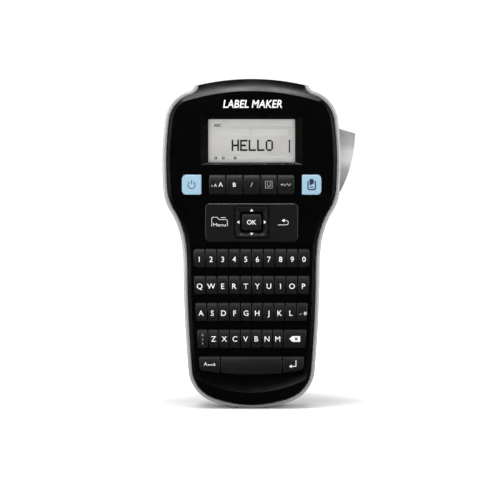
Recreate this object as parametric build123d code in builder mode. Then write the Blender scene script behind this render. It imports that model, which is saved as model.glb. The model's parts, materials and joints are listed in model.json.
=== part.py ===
from build123d import *

import math
import os

# Hand-held electronic label maker with a thermal print mechanism, standing on its lower end.
#
# Frame: +X to the right and +Z up as the user looks at the keys, +Y towards the back.  The origin is
# the middle of the small flat that the lower end stands on.  Depths are counted backwards from the
# front face.

os.makedirs("parts", exist_ok=True)

# ---- driving dimensions, millimetres --------------------------------------------------------------
FACE_FORWARD = 14.0  # the front face lies this far in front of the origin
VISOR_RADIUS = 146.0  # arc across the top of the front cover
VISOR_TOP = 204.7
RIM = 2.4  # how far the rear cover stands out round the front cover
SEAM = 0.15  # clearance between the two covers
SKIRT_BACK = 11.0  # depth where the front cover's skirt ends
WALL = 2.0
FACE_BACK = 2.4  # depth of the face plate's inner side
GRIP_BACK = 29.5  # outside depth of the slim lower half
HEAD_BACK = 48.0  # outside depth of the head
GRIP_TOP = 90.7  # height where the back starts to slope out to the head
HEAD_BOTTOM = 110.7
BACK_ROUND = 5.0

BEVEL_DEPTH = 3.6
BEVEL_STEPS = [(0.0, BEVEL_DEPTH), (0.25, 2.2), (0.9, 0.9), (2.4, 0.0)]  # width and depth, rounded
RIM_STEPS = [(0.0, 5.6), (0.35, 4.4), (1.1, 3.7)]  # the rim's rounded front edge
VISOR_SLOPE_WIDTH = 8.0
VISOR_SLOPE_DEPTH = 5.6

DISH_DEPTH = 0.7  # the keyboard lies in a shallow dish
KEY_TRAVEL = 0.8
KEY_PROUD = 1.5
KEY_BOTTOM = 4.3  # depth of a key's underside
KEY_GAP = 0.45
KEY_CLEAR = 0.3  # from a key to the edge of its window
FLANGE_FRONT, FLANGE_BACK, FLANGE_REACH = 3.0, 3.8, 0.8

ROW_TOP = 99.3  # top of the digit row
ROW_PITCH = 16.65
ROW_HEIGHT = 11.5
SPACE_ARC_RADIUS = 172.0  # lower edge of the space bar's row
SPACE_ARC_LOW = 21.3

FUNCTION_Z = 138.9
FUNCTION_HEIGHT = 12.2
FUNCTION_PITCH = 10.6
BLUE_X = 37.05
BLUE_SIZE = (11.9, 12.2)

NAV_Z = 115.4
NAV_SIZE = (57.4, 23.8)
RING_SIZE = (20.6, 19.0)
OK_SIZE = (11.7, 10.1)
NAV_GAP = 0.6

DISPLAY_Z = 166.5
RECESS_SIZE = (62.9, 30.6)
RECESS_FLOOR_SIZE = (53.4, 26.6)
RECESS_DEPTH = 2.6
VIEW_Z = 166.1

MAT_FRONT, MAT_BACK = 6.6, 8.0
BOARD_BACK = 9.6

SCREWS = [(27.0, 15.7), (44.6, 127.7), (38.0, 189.2)]  # right half; the left half mirrors it
SCREW_SPOTS = SCREWS + [(-x, z) for x, z in SCREWS]
BOSS_MEET = 20.0  # depth where front and rear bosses meet
BOSS_RADIUS, REAR_BOSS_RADIUS = 2.8, 3.4
SCREW_SHANK, SCREW_HEAD, SCREW_WELL = 1.1, 2.0, 2.3
SCREW_SEAT = 22.6

BAY_HALF, BAY_LOW, BAY_HIGH = 32.9, 27.7, 80.7  # battery bay inside
BAY_FLOOR = 14.8
COVER_HALF, COVER_LOW, COVER_HIGH = 33.5, 24.9, 83.5  # battery cover
COVER_FIT = 0.3
COVER_SEAT = 27.6
CELL_RADIUS, CELL_LENGTH, CELL_PITCH, CELL_DEPTH = 5.2, 43.7, 10.9, 20.6

DECK_FRONT, DECK_BACK = 21.6, 23.6
TAPE_X = 20.0
TAPE_FRONT, TAPE_BACK = 27.6, 39.6  # 12 mm label tape, on edge
GUIDE_LOW, GUIDE_HIGH = 185.5, 197.5  # walls either side of the tape below the exit slot
CASSETTE = (-38.0, 26.0, 116.7, 170.7)  # left, right, low, high
CASSETTE_FRONT, CASSETTE_BACK = 24.8, 42.8

GEAR_FRONT, GEAR_BACK = 14.0, 18.0
MODULE = 0.8
PINION_TEETH, IDLER_TEETH, PLATEN_TEETH, RIBBON_TEETH = 12, 24, 20, 24
PLATEN_RADIUS = 4.5
PLATEN = (TAPE_X + 0.37 + PLATEN_RADIUS, 158.7)
MOTOR = (35.5, 139.7)
MOTOR_RADIUS = 8.0
RIBBON_SIDE = 200.0  # direction from the idler to the ribbon spindle, degrees
POST = (TAPE_X - 3.2, 124.0)  # guide post where the tape turns upwards
POST_RADIUS = 3.0
LABEL_ROLL = (-20.0, 146.0)
LABEL_ROLL_RADIUS, RIBBON_ROLL_RADIUS = 15.0, 7.6

HINGE_Z, HINGE_DEPTH = 117.0, 46.4  # cassette door hinge
DOOR_LEFT, DOOR_RIGHT, DOOR_HIGH = -41.0, 33.0, 185.0
DOOR_FRONT = 46.1
DOOR_FIT = 0.3

PIVOT = (49.5, 137.7)  # cutter button pivot
BUTTON_FRONT, BUTTON_BACK = 12.5, 33.0
BLADE_Z = 179.7

PAD_RADIUS, PAD_HEIGHT = 2.5, 1.2  # rubber feet let into the lower end
PADS = [(-8.0, -5.5), (8.0, -5.5), (-8.0, 10.5), (8.0, 10.5)]

JACK = (0.0, 20.0)  # x and depth of the power inlet in the top
JACK_RADIUS = 4.5


# ---- shared helpers -------------------------------------------------------------------------------
def depth_plane(depth):
    """Plane parallel to the front face, depth behind it; its normal points forward."""
    return Plane.XZ.offset(FACE_FORWARD - depth)


def y_at(depth):
    return depth - FACE_FORWARD


def save(builder, name):
    """Labels a finished piece and writes its STEP file."""
    builder.part.label = name
    export_step(builder.part, f"parts/{name}.step")


def meet(first, second, first_reach, second_reach):
    """The point to the left of the line first-second with these distances from its ends."""
    run_x, run_z = second[0] - first[0], second[1] - first[1]
    span = math.hypot(run_x, run_z)
    along = (first_reach**2 - second_reach**2 + span**2) / (2 * span)
    aside = math.sqrt(first_reach**2 - along**2)
    return (
        first[0] + (along * run_x - aside * run_z) / span,
        first[1] + (along * run_z + aside * run_x) / span,
    )


IDLER = meet(
    MOTOR,
    PLATEN,
    MODULE * (PINION_TEETH + IDLER_TEETH) / 2,
    MODULE * (IDLER_TEETH + PLATEN_TEETH) / 2,
)
RIBBON_REACH = MODULE * (IDLER_TEETH + RIBBON_TEETH) / 2
RIBBON = (
    IDLER[0] + RIBBON_REACH * math.cos(math.radians(RIBBON_SIDE)),
    IDLER[1] + RIBBON_REACH * math.sin(math.radians(RIBBON_SIDE)),
)


# Each corner of the body's outline: x, z and the direction of travel there, in degrees.
SIDE = [
    (0.0, 2.1, 0.0),
    (24.5, 6.7, 21.3),
    (37.0, 23.4, 85.0),
    (39.9, 88.7, 89.9),
    (40.7, 101.7, 83.1),
    (44.6, 116.6, 67.5),
    (48.2, 123.5, 57.3),
    (52.3, 135.7, 85.5),
    (51.2, 179.2, 97.4),
    (37.9, 194.6, 164.2),
]
VISOR_CORNER = (32.9, 200.9, 92.6)
BODY_TOP = (0.0, 199.86, 180.0)


def moved(corners, grow):
    """The corners' places with the outline moved outwards by grow."""
    places = []
    for x, z, heading in corners:
        turn = math.radians(heading)
        places.append((x + grow * math.sin(turn), z - grow * math.cos(turn)))
    return places


def arcs_through(places):
    """Tangent arcs up the right side, starting level at the lowest point."""
    heading = (1, 0)
    for start, end in zip(places, places[1:]):
        arc = TangentArc(start, end, tangent=heading)
        heading = arc % 1


def body_outline(grow=0.0):
    """The body without its visor, a smooth closed curve moved outwards by grow."""
    with BuildSketch() as shape:
        with BuildLine():
            arcs_through(moved(SIDE + [BODY_TOP], grow))
            mirror(about=Plane.YZ)
        make_face()
    return shape.sketch


def front_outline(grow=0.0, top_radius=0.0):
    """The body's sides with the visor's notches and its top arc, moved outwards by grow.

    With a top_radius, the top ends at that distance from the visor's centre.
    """
    places = moved(SIDE + [VISOR_CORNER], grow)
    centre = VISOR_TOP - VISOR_RADIUS
    reach = VISOR_RADIUS + max(grow, 0)
    tip_x = places[-1][0]
    tip_z = centre + math.sqrt(reach**2 - tip_x**2)
    with BuildSketch() as shape:
        with BuildLine():
            arcs_through(places)
            Line(places[-1], (tip_x, tip_z))
            mirror(about=Plane.YZ)
            ThreePointArc((tip_x, tip_z), (0, centre + reach), (-tip_x, tip_z))
        make_face()
        if top_radius:
            with Locations((0, centre)):
                Circle(top_radius, mode=Mode.INTERSECT)
    return shape.sketch


# ---- front cover ----------------------------------------------------------------------------------
def key_row(top, height, top_half, bottom_half, grow=0.0):
    """A slightly tapered row of keys as one outline, grown evenly for its window."""
    with BuildSketch() as shape:
        with BuildLine():
            Polyline(
                (-top_half, top),
                (top_half, top),
                (bottom_half, top - height),
                (-bottom_half, top - height),
                close=True,
            )
        make_face()
        if grow:
            offset(amount=grow, kind=Kind.INTERSECTION)
    return shape.sketch


def space_row(grow=0.0):
    """The lowest row, whose lower edge is an arc."""
    top = ROW_TOP - 4 * ROW_PITCH
    with BuildSketch() as shape:
        key = key_row(top, ROW_HEIGHT + 1, 32.4, 31.8)
        add(key)
        with Locations((0, SPACE_ARC_LOW + SPACE_ARC_RADIUS)):
            Circle(SPACE_ARC_RADIUS, mode=Mode.INTERSECT)
        corners = shape.vertices().sort_by(Axis.Y)[:2]
        fillet(corners, radius=2.0)
        fillet(shape.vertices().group_by(Axis.Y)[-1], radius=0.6)
        if grow:
            offset(amount=grow, kind=Kind.INTERSECTION)
    return shape.sketch


# name, top, half-width at the top and at the bottom
ROWS = [
    ("digits", ROW_TOP, 36.0, 35.6),
    ("upper", ROW_TOP - ROW_PITCH, 35.7, 35.2),
    ("home", ROW_TOP - 2 * ROW_PITCH, 34.75, 34.1),
    ("lower", ROW_TOP - 3 * ROW_PITCH, 33.8, 33.2),
]

with BuildPart() as front_cover:
    with BuildSketch(depth_plane(SKIRT_BACK)):
        add(front_outline())
    extrude(amount=SKIRT_BACK - BEVEL_DEPTH)
    for inset, depth in BEVEL_STEPS:
        with BuildSketch(depth_plane(depth)):
            add(front_outline(-inset))
    loft(ruled=True)
    # sloped visor: a cone round the centre of the top arc
    with BuildSketch(Plane.YZ):
        with BuildLine():
            low = VISOR_TOP - VISOR_SLOPE_WIDTH
            Polyline(
                (y_at(-1), low - 1.4),
                (y_at(VISOR_SLOPE_DEPTH), VISOR_TOP),
                (y_at(VISOR_SLOPE_DEPTH), VISOR_TOP + 6),
                (y_at(-1), VISOR_TOP + 6),
                close=True,
            )
        make_face()
    revolve(axis=Axis((0, 0, VISOR_TOP - VISOR_RADIUS), (0, 1, 0)), mode=Mode.SUBTRACT)
    # inside, clear of the slope
    with BuildSketch(depth_plane(SKIRT_BACK)):
        add(body_outline(-WALL - 0.8))
    extrude(amount=SKIRT_BACK - FACE_BACK, mode=Mode.SUBTRACT)
    # keyboard dish
    with BuildSketch(depth_plane(DISH_DEPTH)) as dish:
        with BuildLine():
            left = Line((-37.0, 101.7), (-35.6, 66.7))
            lower_left = Line(left @ 1, (-32.1, 18.7))
            bottom = ThreePointArc(lower_left @ 1, (0, 10.3), (32.1, 18.7))
            lower_right = Line(bottom @ 1, (35.6, 66.7))
            right = Line(lower_right @ 1, (37.0, 101.7))
            Line(right @ 1, left @ 0)
        make_face()
        fillet(dish.vertices().group_by(Axis.Y)[0], radius=3)
        fillet(dish.vertices().group_by(Axis.Y)[-1], radius=3)
    extrude(amount=DISH_DEPTH + 1, mode=Mode.SUBTRACT)
    # windows for the keys
    with BuildSketch(depth_plane(FACE_BACK + 1)):
        for _, top, top_half, bottom_half in ROWS:
            add(key_row(top, ROW_HEIGHT, top_half, bottom_half, KEY_CLEAR))
        add(space_row(KEY_CLEAR))
        with Locations((0, FUNCTION_Z)):
            Rectangle(5 * FUNCTION_PITCH - KEY_GAP + 2 * KEY_CLEAR, FUNCTION_HEIGHT + 2 * KEY_CLEAR)
        with Locations((-BLUE_X, FUNCTION_Z), (BLUE_X, FUNCTION_Z)):
            RectangleRounded(BLUE_SIZE[0] + 2 * KEY_CLEAR, BLUE_SIZE[1] + 2 * KEY_CLEAR, 0.8)
        with Locations((0, NAV_Z)):
            RectangleRounded(NAV_SIZE[0] + 2 * KEY_GAP, NAV_SIZE[1] + 2 * KEY_GAP, 3.3)
    extrude(amount=FACE_BACK + 2, mode=Mode.SUBTRACT)
    # display recess with sloping walls
    with BuildSketch(depth_plane(FACE_BACK + 0.1)):
        with Locations((0, VIEW_Z)):
            RectangleRounded(*RECESS_FLOOR_SIZE, 0.8)
    with BuildSketch(depth_plane(-0.01)):
        with Locations((0, DISPLAY_Z)):
            RectangleRounded(*RECESS_SIZE, 0.8)
    loft(mode=Mode.SUBTRACT)
    # screw bosses, merged with the face
    with BuildSketch(depth_plane(BOSS_MEET)):
        with Locations(*SCREW_SPOTS):
            Circle(BOSS_RADIUS)
    extrude(amount=BOSS_MEET - FACE_BACK + 0.2)
    with BuildSketch(depth_plane(BOSS_MEET)):
        with Locations(*SCREW_SPOTS):
            Circle(SCREW_SHANK + 0.1)
    extrude(amount=12, mode=Mode.SUBTRACT)
save(front_cover, "front_cover")


# ---- rear cover -----------------------------------------------------------------------------------
def back_rounding(back, grow):
    """Sections of the rounded rear edge, from the side wall to the back."""
    for turn in (0, 22, 45, 67, 90):
        inset = BACK_ROUND * (1 - math.cos(math.radians(turn)))
        depth = back - BACK_ROUND + BACK_ROUND * math.sin(math.radians(turn))
        yield depth, body_outline(grow - inset)


def head_profile(inwards):
    """Side view of everything above and in front of the slope, moved inwards."""
    run = HEAD_BACK - GRIP_BACK
    rise = HEAD_BOTTOM - GRIP_TOP
    shift = inwards * math.hypot(run, rise) / run
    start = GRIP_BACK - BACK_ROUND - 2
    low = GRIP_TOP + shift - rise * (BACK_ROUND + 2) / run
    high = HEAD_BOTTOM + shift + rise / run
    with BuildSketch() as shape:
        with BuildLine():
            Polyline(
                (y_at(start), low),
                (y_at(HEAD_BACK + 1), high),
                (y_at(HEAD_BACK + 1), VISOR_TOP + 10),
                (y_at(start), VISOR_TOP + 10),
                close=True,
            )
        make_face()
    return shape.sketch


def slab_with_round_back(grow, front, back):
    """The body's outline between two depths, its rear edge rounded."""
    with BuildPart() as slab:
        with BuildSketch(depth_plane(back - BACK_ROUND)):
            add(body_outline(grow))
        extrude(amount=back - BACK_ROUND - front)
        for depth, section in back_rounding(back, grow):
            with BuildSketch(depth_plane(depth)):
                add(section)
        loft(ruled=True)
    return slab.part


def housing(grow, front, head_back, grip_back, slope_in):
    """Solid with the body's outline in front view and a deep head over a slim grip."""
    with BuildPart() as body:
        add(slab_with_round_back(grow, front, head_back))
        with BuildSketch(Plane.YZ.offset(-80)):
            add(head_profile(slope_in))
        extrude(amount=160, mode=Mode.INTERSECT)
        add(slab_with_round_back(grow, front, grip_back))
    return body.part


REAR_FRONT = SKIRT_BACK + 0.2
SHELL_OUTSIDE = housing(RIM, REAR_FRONT, HEAD_BACK, GRIP_BACK, 0)
SHELL_INSIDE = housing(SEAM, REAR_FRONT - 1, HEAD_BACK - WALL, GRIP_BACK - WALL, WALL)

with BuildPart() as rear_cover:
    add(SHELL_OUTSIDE)
    # rim round the front cover, ending in small horns beside the visor
    with BuildSketch(depth_plane(REAR_FRONT)):
        add(front_outline(RIM, VISOR_RADIUS))
    extrude(amount=REAR_FRONT - RIM_STEPS[0][1])
    for (inset, depth), (next_inset, next_depth) in zip(RIM_STEPS, RIM_STEPS[1:]):
        with BuildSketch(depth_plane(depth)):
            add(front_outline(RIM - inset, VISOR_RADIUS))
        with BuildSketch(depth_plane(next_depth)):
            add(front_outline(RIM - next_inset, VISOR_RADIUS))
        loft(ruled=True)
    add(SHELL_INSIDE, mode=Mode.SUBTRACT)
    with BuildSketch(depth_plane(REAR_FRONT)):
        add(front_outline(SEAM))
    extrude(amount=SKIRT_BACK, mode=Mode.SUBTRACT)
    # the small flat it stands on
    with BuildSketch(depth_plane(GRIP_BACK)):
        with Locations((0, -5)):
            Rectangle(60, 10)
    extrude(amount=GRIP_BACK, mode=Mode.SUBTRACT)
    # battery bay
    with BuildSketch(depth_plane(COVER_SEAT)):
        with Locations((0, (BAY_LOW + BAY_HIGH) / 2)):
            Rectangle(2 * BAY_HALF + 3, BAY_HIGH - BAY_LOW + 5.6)
    extrude(amount=COVER_SEAT - BAY_FLOOR + 1.5)
    with BuildSketch(depth_plane(GRIP_BACK + 1)):
        with Locations((0, (BAY_LOW + BAY_HIGH) / 2)):
            Rectangle(2 * BAY_HALF, BAY_HIGH - BAY_LOW)
    extrude(amount=GRIP_BACK + 1 - BAY_FLOOR, mode=Mode.SUBTRACT)
    with BuildSketch(depth_plane(GRIP_BACK + 1)):
        with Locations((0, (COVER_LOW + COVER_HIGH) / 2)):
            RectangleRounded(
                2 * (COVER_HALF + COVER_FIT), COVER_HIGH - COVER_LOW + 2 * COVER_FIT, 1.5
            )
    extrude(amount=GRIP_BACK + 1 - COVER_SEAT + COVER_FIT, mode=Mode.SUBTRACT)
    # opening for the cassette door, and its hinge lugs
    with BuildSketch(depth_plane(HEAD_BACK + 1)):
        with Locations(((DOOR_LEFT + DOOR_RIGHT) / 2, (HINGE_Z - 1.9 + DOOR_HIGH + DOOR_FIT) / 2)):
            Rectangle(DOOR_RIGHT - DOOR_LEFT + 2 * DOOR_FIT, DOOR_HIGH + DOOR_FIT - HINGE_Z + 1.9)
    extrude(amount=4, mode=Mode.SUBTRACT)
    with BuildSketch(Plane.YZ.offset(DOOR_LEFT - DOOR_FIT)):
        with Locations((y_at(HINGE_DEPTH) - 0.4, HINGE_Z)):
            Rectangle(4.0, 5.0)
    extrude(amount=-3)
    with BuildSketch(Plane.YZ.offset(DOOR_RIGHT + DOOR_FIT)):
        with Locations((y_at(HINGE_DEPTH) - 0.4, HINGE_Z)):
            Rectangle(4.0, 5.0)
    extrude(amount=3)
    with Locations(Location(((DOOR_LEFT + DOOR_RIGHT) / 2, y_at(HINGE_DEPTH), HINGE_Z), (0, 90, 0))):
        Cylinder(0.85, DOOR_RIGHT - DOOR_LEFT + 5, mode=Mode.SUBTRACT)
    # latch ledge above the door
    with BuildSketch(depth_plane(DOOR_FRONT - 0.3)):
        with Locations(((DOOR_LEFT + DOOR_RIGHT) / 2, DOOR_HIGH + 0.2)):
            Rectangle(24, 4)
    extrude(amount=1.5)
    with BuildSketch(depth_plane(DOOR_FRONT + 0.4)):
        with Locations(((DOOR_LEFT + DOOR_RIGHT) / 2, DOOR_HIGH + 1.3)):
            Rectangle(24, 1.8)
    extrude(amount=2.2)
    # screw bosses with wells for the heads
    with BuildSketch(depth_plane(GRIP_BACK - 1)):
        with Locations(*SCREW_SPOTS):
            Circle(REAR_BOSS_RADIUS)
    extrude(amount=GRIP_BACK - 1 - BOSS_MEET - 0.05)
    with BuildSketch(depth_plane(HEAD_BACK - 1)):
        with Locations(*[spot for spot in SCREW_SPOTS if spot[1] > HEAD_BOTTOM]):
            Circle(REAR_BOSS_RADIUS)
    extrude(amount=HEAD_BACK - GRIP_BACK + 1)
    with BuildSketch(depth_plane(HEAD_BACK + 1)):
        with Locations(*SCREW_SPOTS):
            Circle(SCREW_WELL)
    extrude(amount=HEAD_BACK + 1 - SCREW_SEAT, mode=Mode.SUBTRACT)
    with BuildSketch(depth_plane(SCREW_SEAT + 1)):
        with Locations(*SCREW_SPOTS):
            Circle(SCREW_SHANK + 0.15)
    extrude(amount=4, mode=Mode.SUBTRACT)
    # cutter button opening in the right side
    with BuildSketch(Plane.YZ.offset(42)):
        with Locations((y_at((BUTTON_FRONT + BUTTON_BACK) / 2), 155.1)):
            Rectangle(BUTTON_BACK - BUTTON_FRONT + 0.8, 42.4)
    extrude(amount=16, mode=Mode.SUBTRACT)
    # lugs for the ends of the cutter's pivot pin
    for back, thick in ((BUTTON_FRONT - 0.3, 0.9), (BUTTON_BACK + 3.0, 2.6)):
        with BuildSketch(depth_plane(back)):
            with Locations((PIVOT[0] + 1.2, PIVOT[1])):
                Rectangle(6.4, 5.4)
        extrude(amount=thick)
    with BuildSketch(depth_plane(BUTTON_BACK + 4)):
        with Locations(PIVOT):
            Circle(0.95)
    extrude(amount=BUTTON_BACK - BUTTON_FRONT + 6, mode=Mode.SUBTRACT)
    # guide for the label on its way out, open towards the door
    with BuildSketch(Plane.XY.offset(GUIDE_LOW)):
        with Locations((TAPE_X, y_at((TAPE_FRONT + TAPE_BACK) / 2))):
            Rectangle(6.4, TAPE_BACK - TAPE_FRONT + 2.8)
    extrude(amount=GUIDE_HIGH + 1.6 - GUIDE_LOW)
    with BuildSketch(Plane.XY.offset(GUIDE_LOW)):
        with Locations((TAPE_X, y_at((TAPE_FRONT + TAPE_BACK) / 2) + 1)):
            Rectangle(1.2, TAPE_BACK - TAPE_FRONT + 2.8)
    extrude(amount=GUIDE_HIGH - GUIDE_LOW, mode=Mode.SUBTRACT)
    # label exit slot and power inlet in the top
    with BuildSketch(Plane.XY.offset(GUIDE_HIGH)):
        with Locations((TAPE_X, y_at((TAPE_FRONT + TAPE_BACK) / 2))):
            Rectangle(2.6, TAPE_BACK - TAPE_FRONT + 2.4)
        with Locations((JACK[0], y_at(JACK[1]))):
            Circle(JACK_RADIUS)
    extrude(amount=12, mode=Mode.SUBTRACT)
    # pockets for the rubber feet
    with BuildSketch(Plane.XY.offset(-0.5)):
        with Locations(*PADS):
            Circle(PAD_RADIUS)
    extrude(amount=PAD_HEIGHT + 0.5, mode=Mode.SUBTRACT)
save(rear_cover, "rear_cover")

with BuildPart() as foot_pads:
    with BuildSketch(Plane.XY):
        with Locations(*PADS):
            Circle(PAD_RADIUS)
    extrude(amount=PAD_HEIGHT)
save(foot_pads, "foot_pads")

with BuildPart() as case_screws:
    with BuildSketch(depth_plane(SCREW_SEAT)):
        with Locations(*SCREW_SPOTS):
            Circle(SCREW_SHANK)
    extrude(amount=10)
    with BuildSketch(depth_plane(SCREW_SEAT + 1.6)):
        with Locations(*SCREW_SPOTS):
            Circle(SCREW_HEAD)
    extrude(amount=1.6)
    with BuildSketch(depth_plane(SCREW_SEAT + 1.7)):
        with Locations(*SCREW_SPOTS):
            Rectangle(2.4, 0.6)
            Rectangle(0.6, 2.4)
    extrude(amount=1.0, mode=Mode.SUBTRACT)
save(case_screws, "case_screws")

# ---- display --------------------------------------------------------------------------------------
with BuildPart() as display_window:
    with BuildSketch(depth_plane(FACE_BACK + 1.6)):
        with Locations((0, VIEW_Z)):
            RectangleRounded(59, 31, 1)
    extrude(amount=1.55)
    chamfer(display_window.faces().sort_by(Axis.Y)[0].edges(), length=0.4)
save(display_window, "display_window")

with BuildPart() as lcd_panel:
    with BuildSketch(depth_plane(7.4)):
        with Locations((0, VIEW_Z)):
            Rectangle(57, 29.6)
    extrude(amount=2.9)
    with BuildSketch(depth_plane(4.5)):
        with Locations((0, VIEW_Z)):
            Rectangle(53.4, 26.4)
    extrude(amount=-0.3, mode=Mode.SUBTRACT)
save(lcd_panel, "lcd_panel")

# ---- keys -----------------------------------------------------------------------------------------
KEY_FRONT = DISH_DEPTH - KEY_PROUD


def key_solid(shape, crown=0.45, front=KEY_FRONT):
    """A key cap with a bevelled crown, and a flange above and below that keeps it in."""
    box = shape.bounding_box()
    middle = (box.min + box.max) * 0.5
    with BuildPart() as cap:
        with BuildSketch(depth_plane(KEY_BOTTOM)):
            add(shape)
        extrude(amount=KEY_BOTTOM - front)
        rim_edges = cap.faces().sort_by(Axis.Y)[0].edges()
        chamfer(rim_edges, length=crown)
        with BuildSketch(depth_plane(FLANGE_BACK)):
            with Locations((middle.X, middle.Y)):
                Rectangle(box.size.X - 0.5, box.size.Y + 2 * FLANGE_REACH)
        extrude(amount=FLANGE_BACK - FLANGE_FRONT)
        # hollow underneath, round the plunger
        with BuildSketch(depth_plane(KEY_BOTTOM)):
            with Locations((middle.X, middle.Y)):
                Rectangle(box.size.X - 2.4, box.size.Y - 3.4)
                Circle(1.2, mode=Mode.SUBTRACT)
        extrude(amount=KEY_BOTTOM - 1.4, mode=Mode.SUBTRACT)
    return cap.part


def key_outline(row, first, last, corner_left=0.55, corner_right=0.55):
    """Part of a row between two places, 0 at its left end and 1 at its right."""
    _, top, top_half, bottom_half = row
    high = top
    low = top - ROW_HEIGHT
    gap_left = 0 if first < 0.001 else KEY_GAP / 2
    gap_right = 0 if last > 0.999 else KEY_GAP / 2
    with BuildSketch() as shape:
        with BuildLine():
            Polyline(
                (-top_half + 2 * top_half * first + gap_left, high),
                (-top_half + 2 * top_half * last - gap_right, high),
                (-bottom_half + 2 * bottom_half * last - gap_right, low),
                (-bottom_half + 2 * bottom_half * first + gap_left, low),
                close=True,
            )
        make_face()
        left = shape.vertices().sort_by(Axis.X)[:2]
        fillet(left, radius=corner_left)
        right = shape.vertices().sort_by(Axis.X)[-2:]
        fillet(right, radius=corner_right)
    return shape.sketch


for place in range(10):
    outer_left = 1.6 if place == 0 else 0.55
    outer_right = 1.6 if place == 9 else 0.55
    outline_here = key_outline(ROWS[0], place / 10, (place + 1) / 10, outer_left, outer_right)
    with BuildPart() as digit_key:
        add(key_solid(outline_here))
    save(digit_key, f"key_{(place + 1) % 10}")

for row, name in ((ROWS[1], "keys_upper_row"), (ROWS[2], "keys_home_row")):
    with BuildPart() as letter_keys:
        for place in range(10):
            add(key_solid(key_outline(row, place / 10, (place + 1) / 10)))
    save(letter_keys, name)

ACCENT_END, BACKSPACE_START = 0.099, 0.7915  # shares of the lower letter row
LETTER_SHARE = (BACKSPACE_START - ACCENT_END) / 7

with BuildPart() as accent_key:
    add(key_solid(key_outline(ROWS[3], 0, ACCENT_END)))
save(accent_key, "accent_key")

with BuildPart() as lower_letters:
    for place in range(7):
        start = ACCENT_END + place * LETTER_SHARE
        add(key_solid(key_outline(ROWS[3], start, start + LETTER_SHARE)))
save(lower_letters, "keys_lower_row")

with BuildPart() as backspace_key:
    add(key_solid(key_outline(ROWS[3], BACKSPACE_START, 1)))
save(backspace_key, "backspace_key")

for name, left, right in (
    ("capitals_key", -40, -19.45),
    ("space_key", -19.0, 18.8),
    ("enter_key", 19.25, 40),
):
    with BuildSketch() as piece:
        add(space_row())
        with Locations(((left + right) / 2, 28)):
            Rectangle(right - left, 40, mode=Mode.INTERSECT)
    with BuildPart() as low_key:
        add(key_solid(piece.sketch))
    save(low_key, name)

for place, name in enumerate(("size_key", "bold_key", "italic_key", "frame_key", "style_key")):
    with BuildSketch() as piece:
        with Locations(((place - 2) * FUNCTION_PITCH, FUNCTION_Z)):
            RectangleRounded(FUNCTION_PITCH - KEY_GAP, FUNCTION_HEIGHT, 0.6)
    with BuildPart() as function_key:
        add(key_solid(piece.sketch, front=-0.9))
    save(function_key, name)

for name, side in (("power_key", -1), ("print_key", 1)):
    with BuildSketch() as piece:
        with Locations((side * BLUE_X, FUNCTION_Z)):
            Rectangle(*BLUE_SIZE)
        outer = piece.vertices().sort_by(Axis.X)[:2] if side < 0 else piece.vertices().sort_by(Axis.X)[-2:]
        fillet(outer, radius=2.7)
        inner = piece.vertices().sort_by(Axis.X)[-2:] if side < 0 else piece.vertices().sort_by(Axis.X)[:2]
        fillet(inner, radius=0.6)
    with BuildPart() as blue_key:
        add(key_solid(piece.sketch, crown=0.55, front=-1.2))
    save(blue_key, name)

# menu/back rocker, arrow ring on its gimbal, and the middle key
with BuildPart() as menu_back_plate:
    with BuildSketch(depth_plane(2.6)):
        with Locations((0, NAV_Z)):
            RectangleRounded(*NAV_SIZE, 2.9)
    extrude(amount=3.4)
    chamfer(menu_back_plate.faces().sort_by(Axis.Y)[0].edges(), length=0.5)
    with BuildSketch(depth_plane(3)):
        with Locations((0, NAV_Z + 0.4)):
            RectangleRounded(RING_SIZE[0] + 2 * NAV_GAP, RING_SIZE[1] + 2 * NAV_GAP, 2.4)
    extrude(amount=6, mode=Mode.SUBTRACT)
    # plungers over the domes, and keeper tabs by the pivot
    with BuildSketch(depth_plane(KEY_BOTTOM)):
        with Locations((-20, NAV_Z), (20, NAV_Z)):
            Circle(1.5)
    extrude(amount=KEY_BOTTOM - 2.5)
    with BuildSketch(depth_plane(KEY_BOTTOM)):
        with Locations((0, NAV_Z - NAV_SIZE[1] / 2), (0, NAV_Z + NAV_SIZE[1] / 2)):
            Rectangle(12, 2.4)
    extrude(amount=0.9)
    with BuildSketch(depth_plane(KEY_BOTTOM - 0.9)):
        with Locations((0, NAV_Z - NAV_SIZE[1] / 2 + 0.6), (0, NAV_Z + NAV_SIZE[1] / 2 - 0.6)):
            Rectangle(12, 1.2)
    extrude(amount=0.9)
save(menu_back_plate, "menu_back_plate")

with BuildPart() as arrow_ring:
    with BuildSketch(depth_plane(2.2)):
        with Locations((0, NAV_Z + 0.4)):
            RectangleRounded(*RING_SIZE, 2.0)
    extrude(amount=3.4)
    chamfer(arrow_ring.faces().sort_by(Axis.Y)[0].edges(), length=0.5)
    with BuildSketch(depth_plane(3)):
        with Locations((0, NAV_Z + 0.4)):
            RectangleRounded(OK_SIZE[0] + 2 * NAV_GAP, OK_SIZE[1] + 2 * NAV_GAP, 1.2)
    extrude(amount=6, mode=Mode.SUBTRACT)
    # bearing ears on the left and right
    with BuildSketch(depth_plane(3.4)):
        with Locations((-8.6, NAV_Z + 0.4), (8.6, NAV_Z + 0.4)):
            Rectangle(1.6, 3)
    extrude(amount=1.3)
save(arrow_ring, "arrow_ring")

with BuildPart() as arrow_ring_actuator:
    with BuildSketch(depth_plane(5.0)):
        with Locations((0, NAV_Z + 0.4)):
            RectangleRounded(21.4, 19.8, 2.0)
            RectangleRounded(14.4, 12.8, 1.2, mode=Mode.SUBTRACT)
    extrude(amount=0.9)
save(arrow_ring_actuator, "arrow_ring_actuator")

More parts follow.
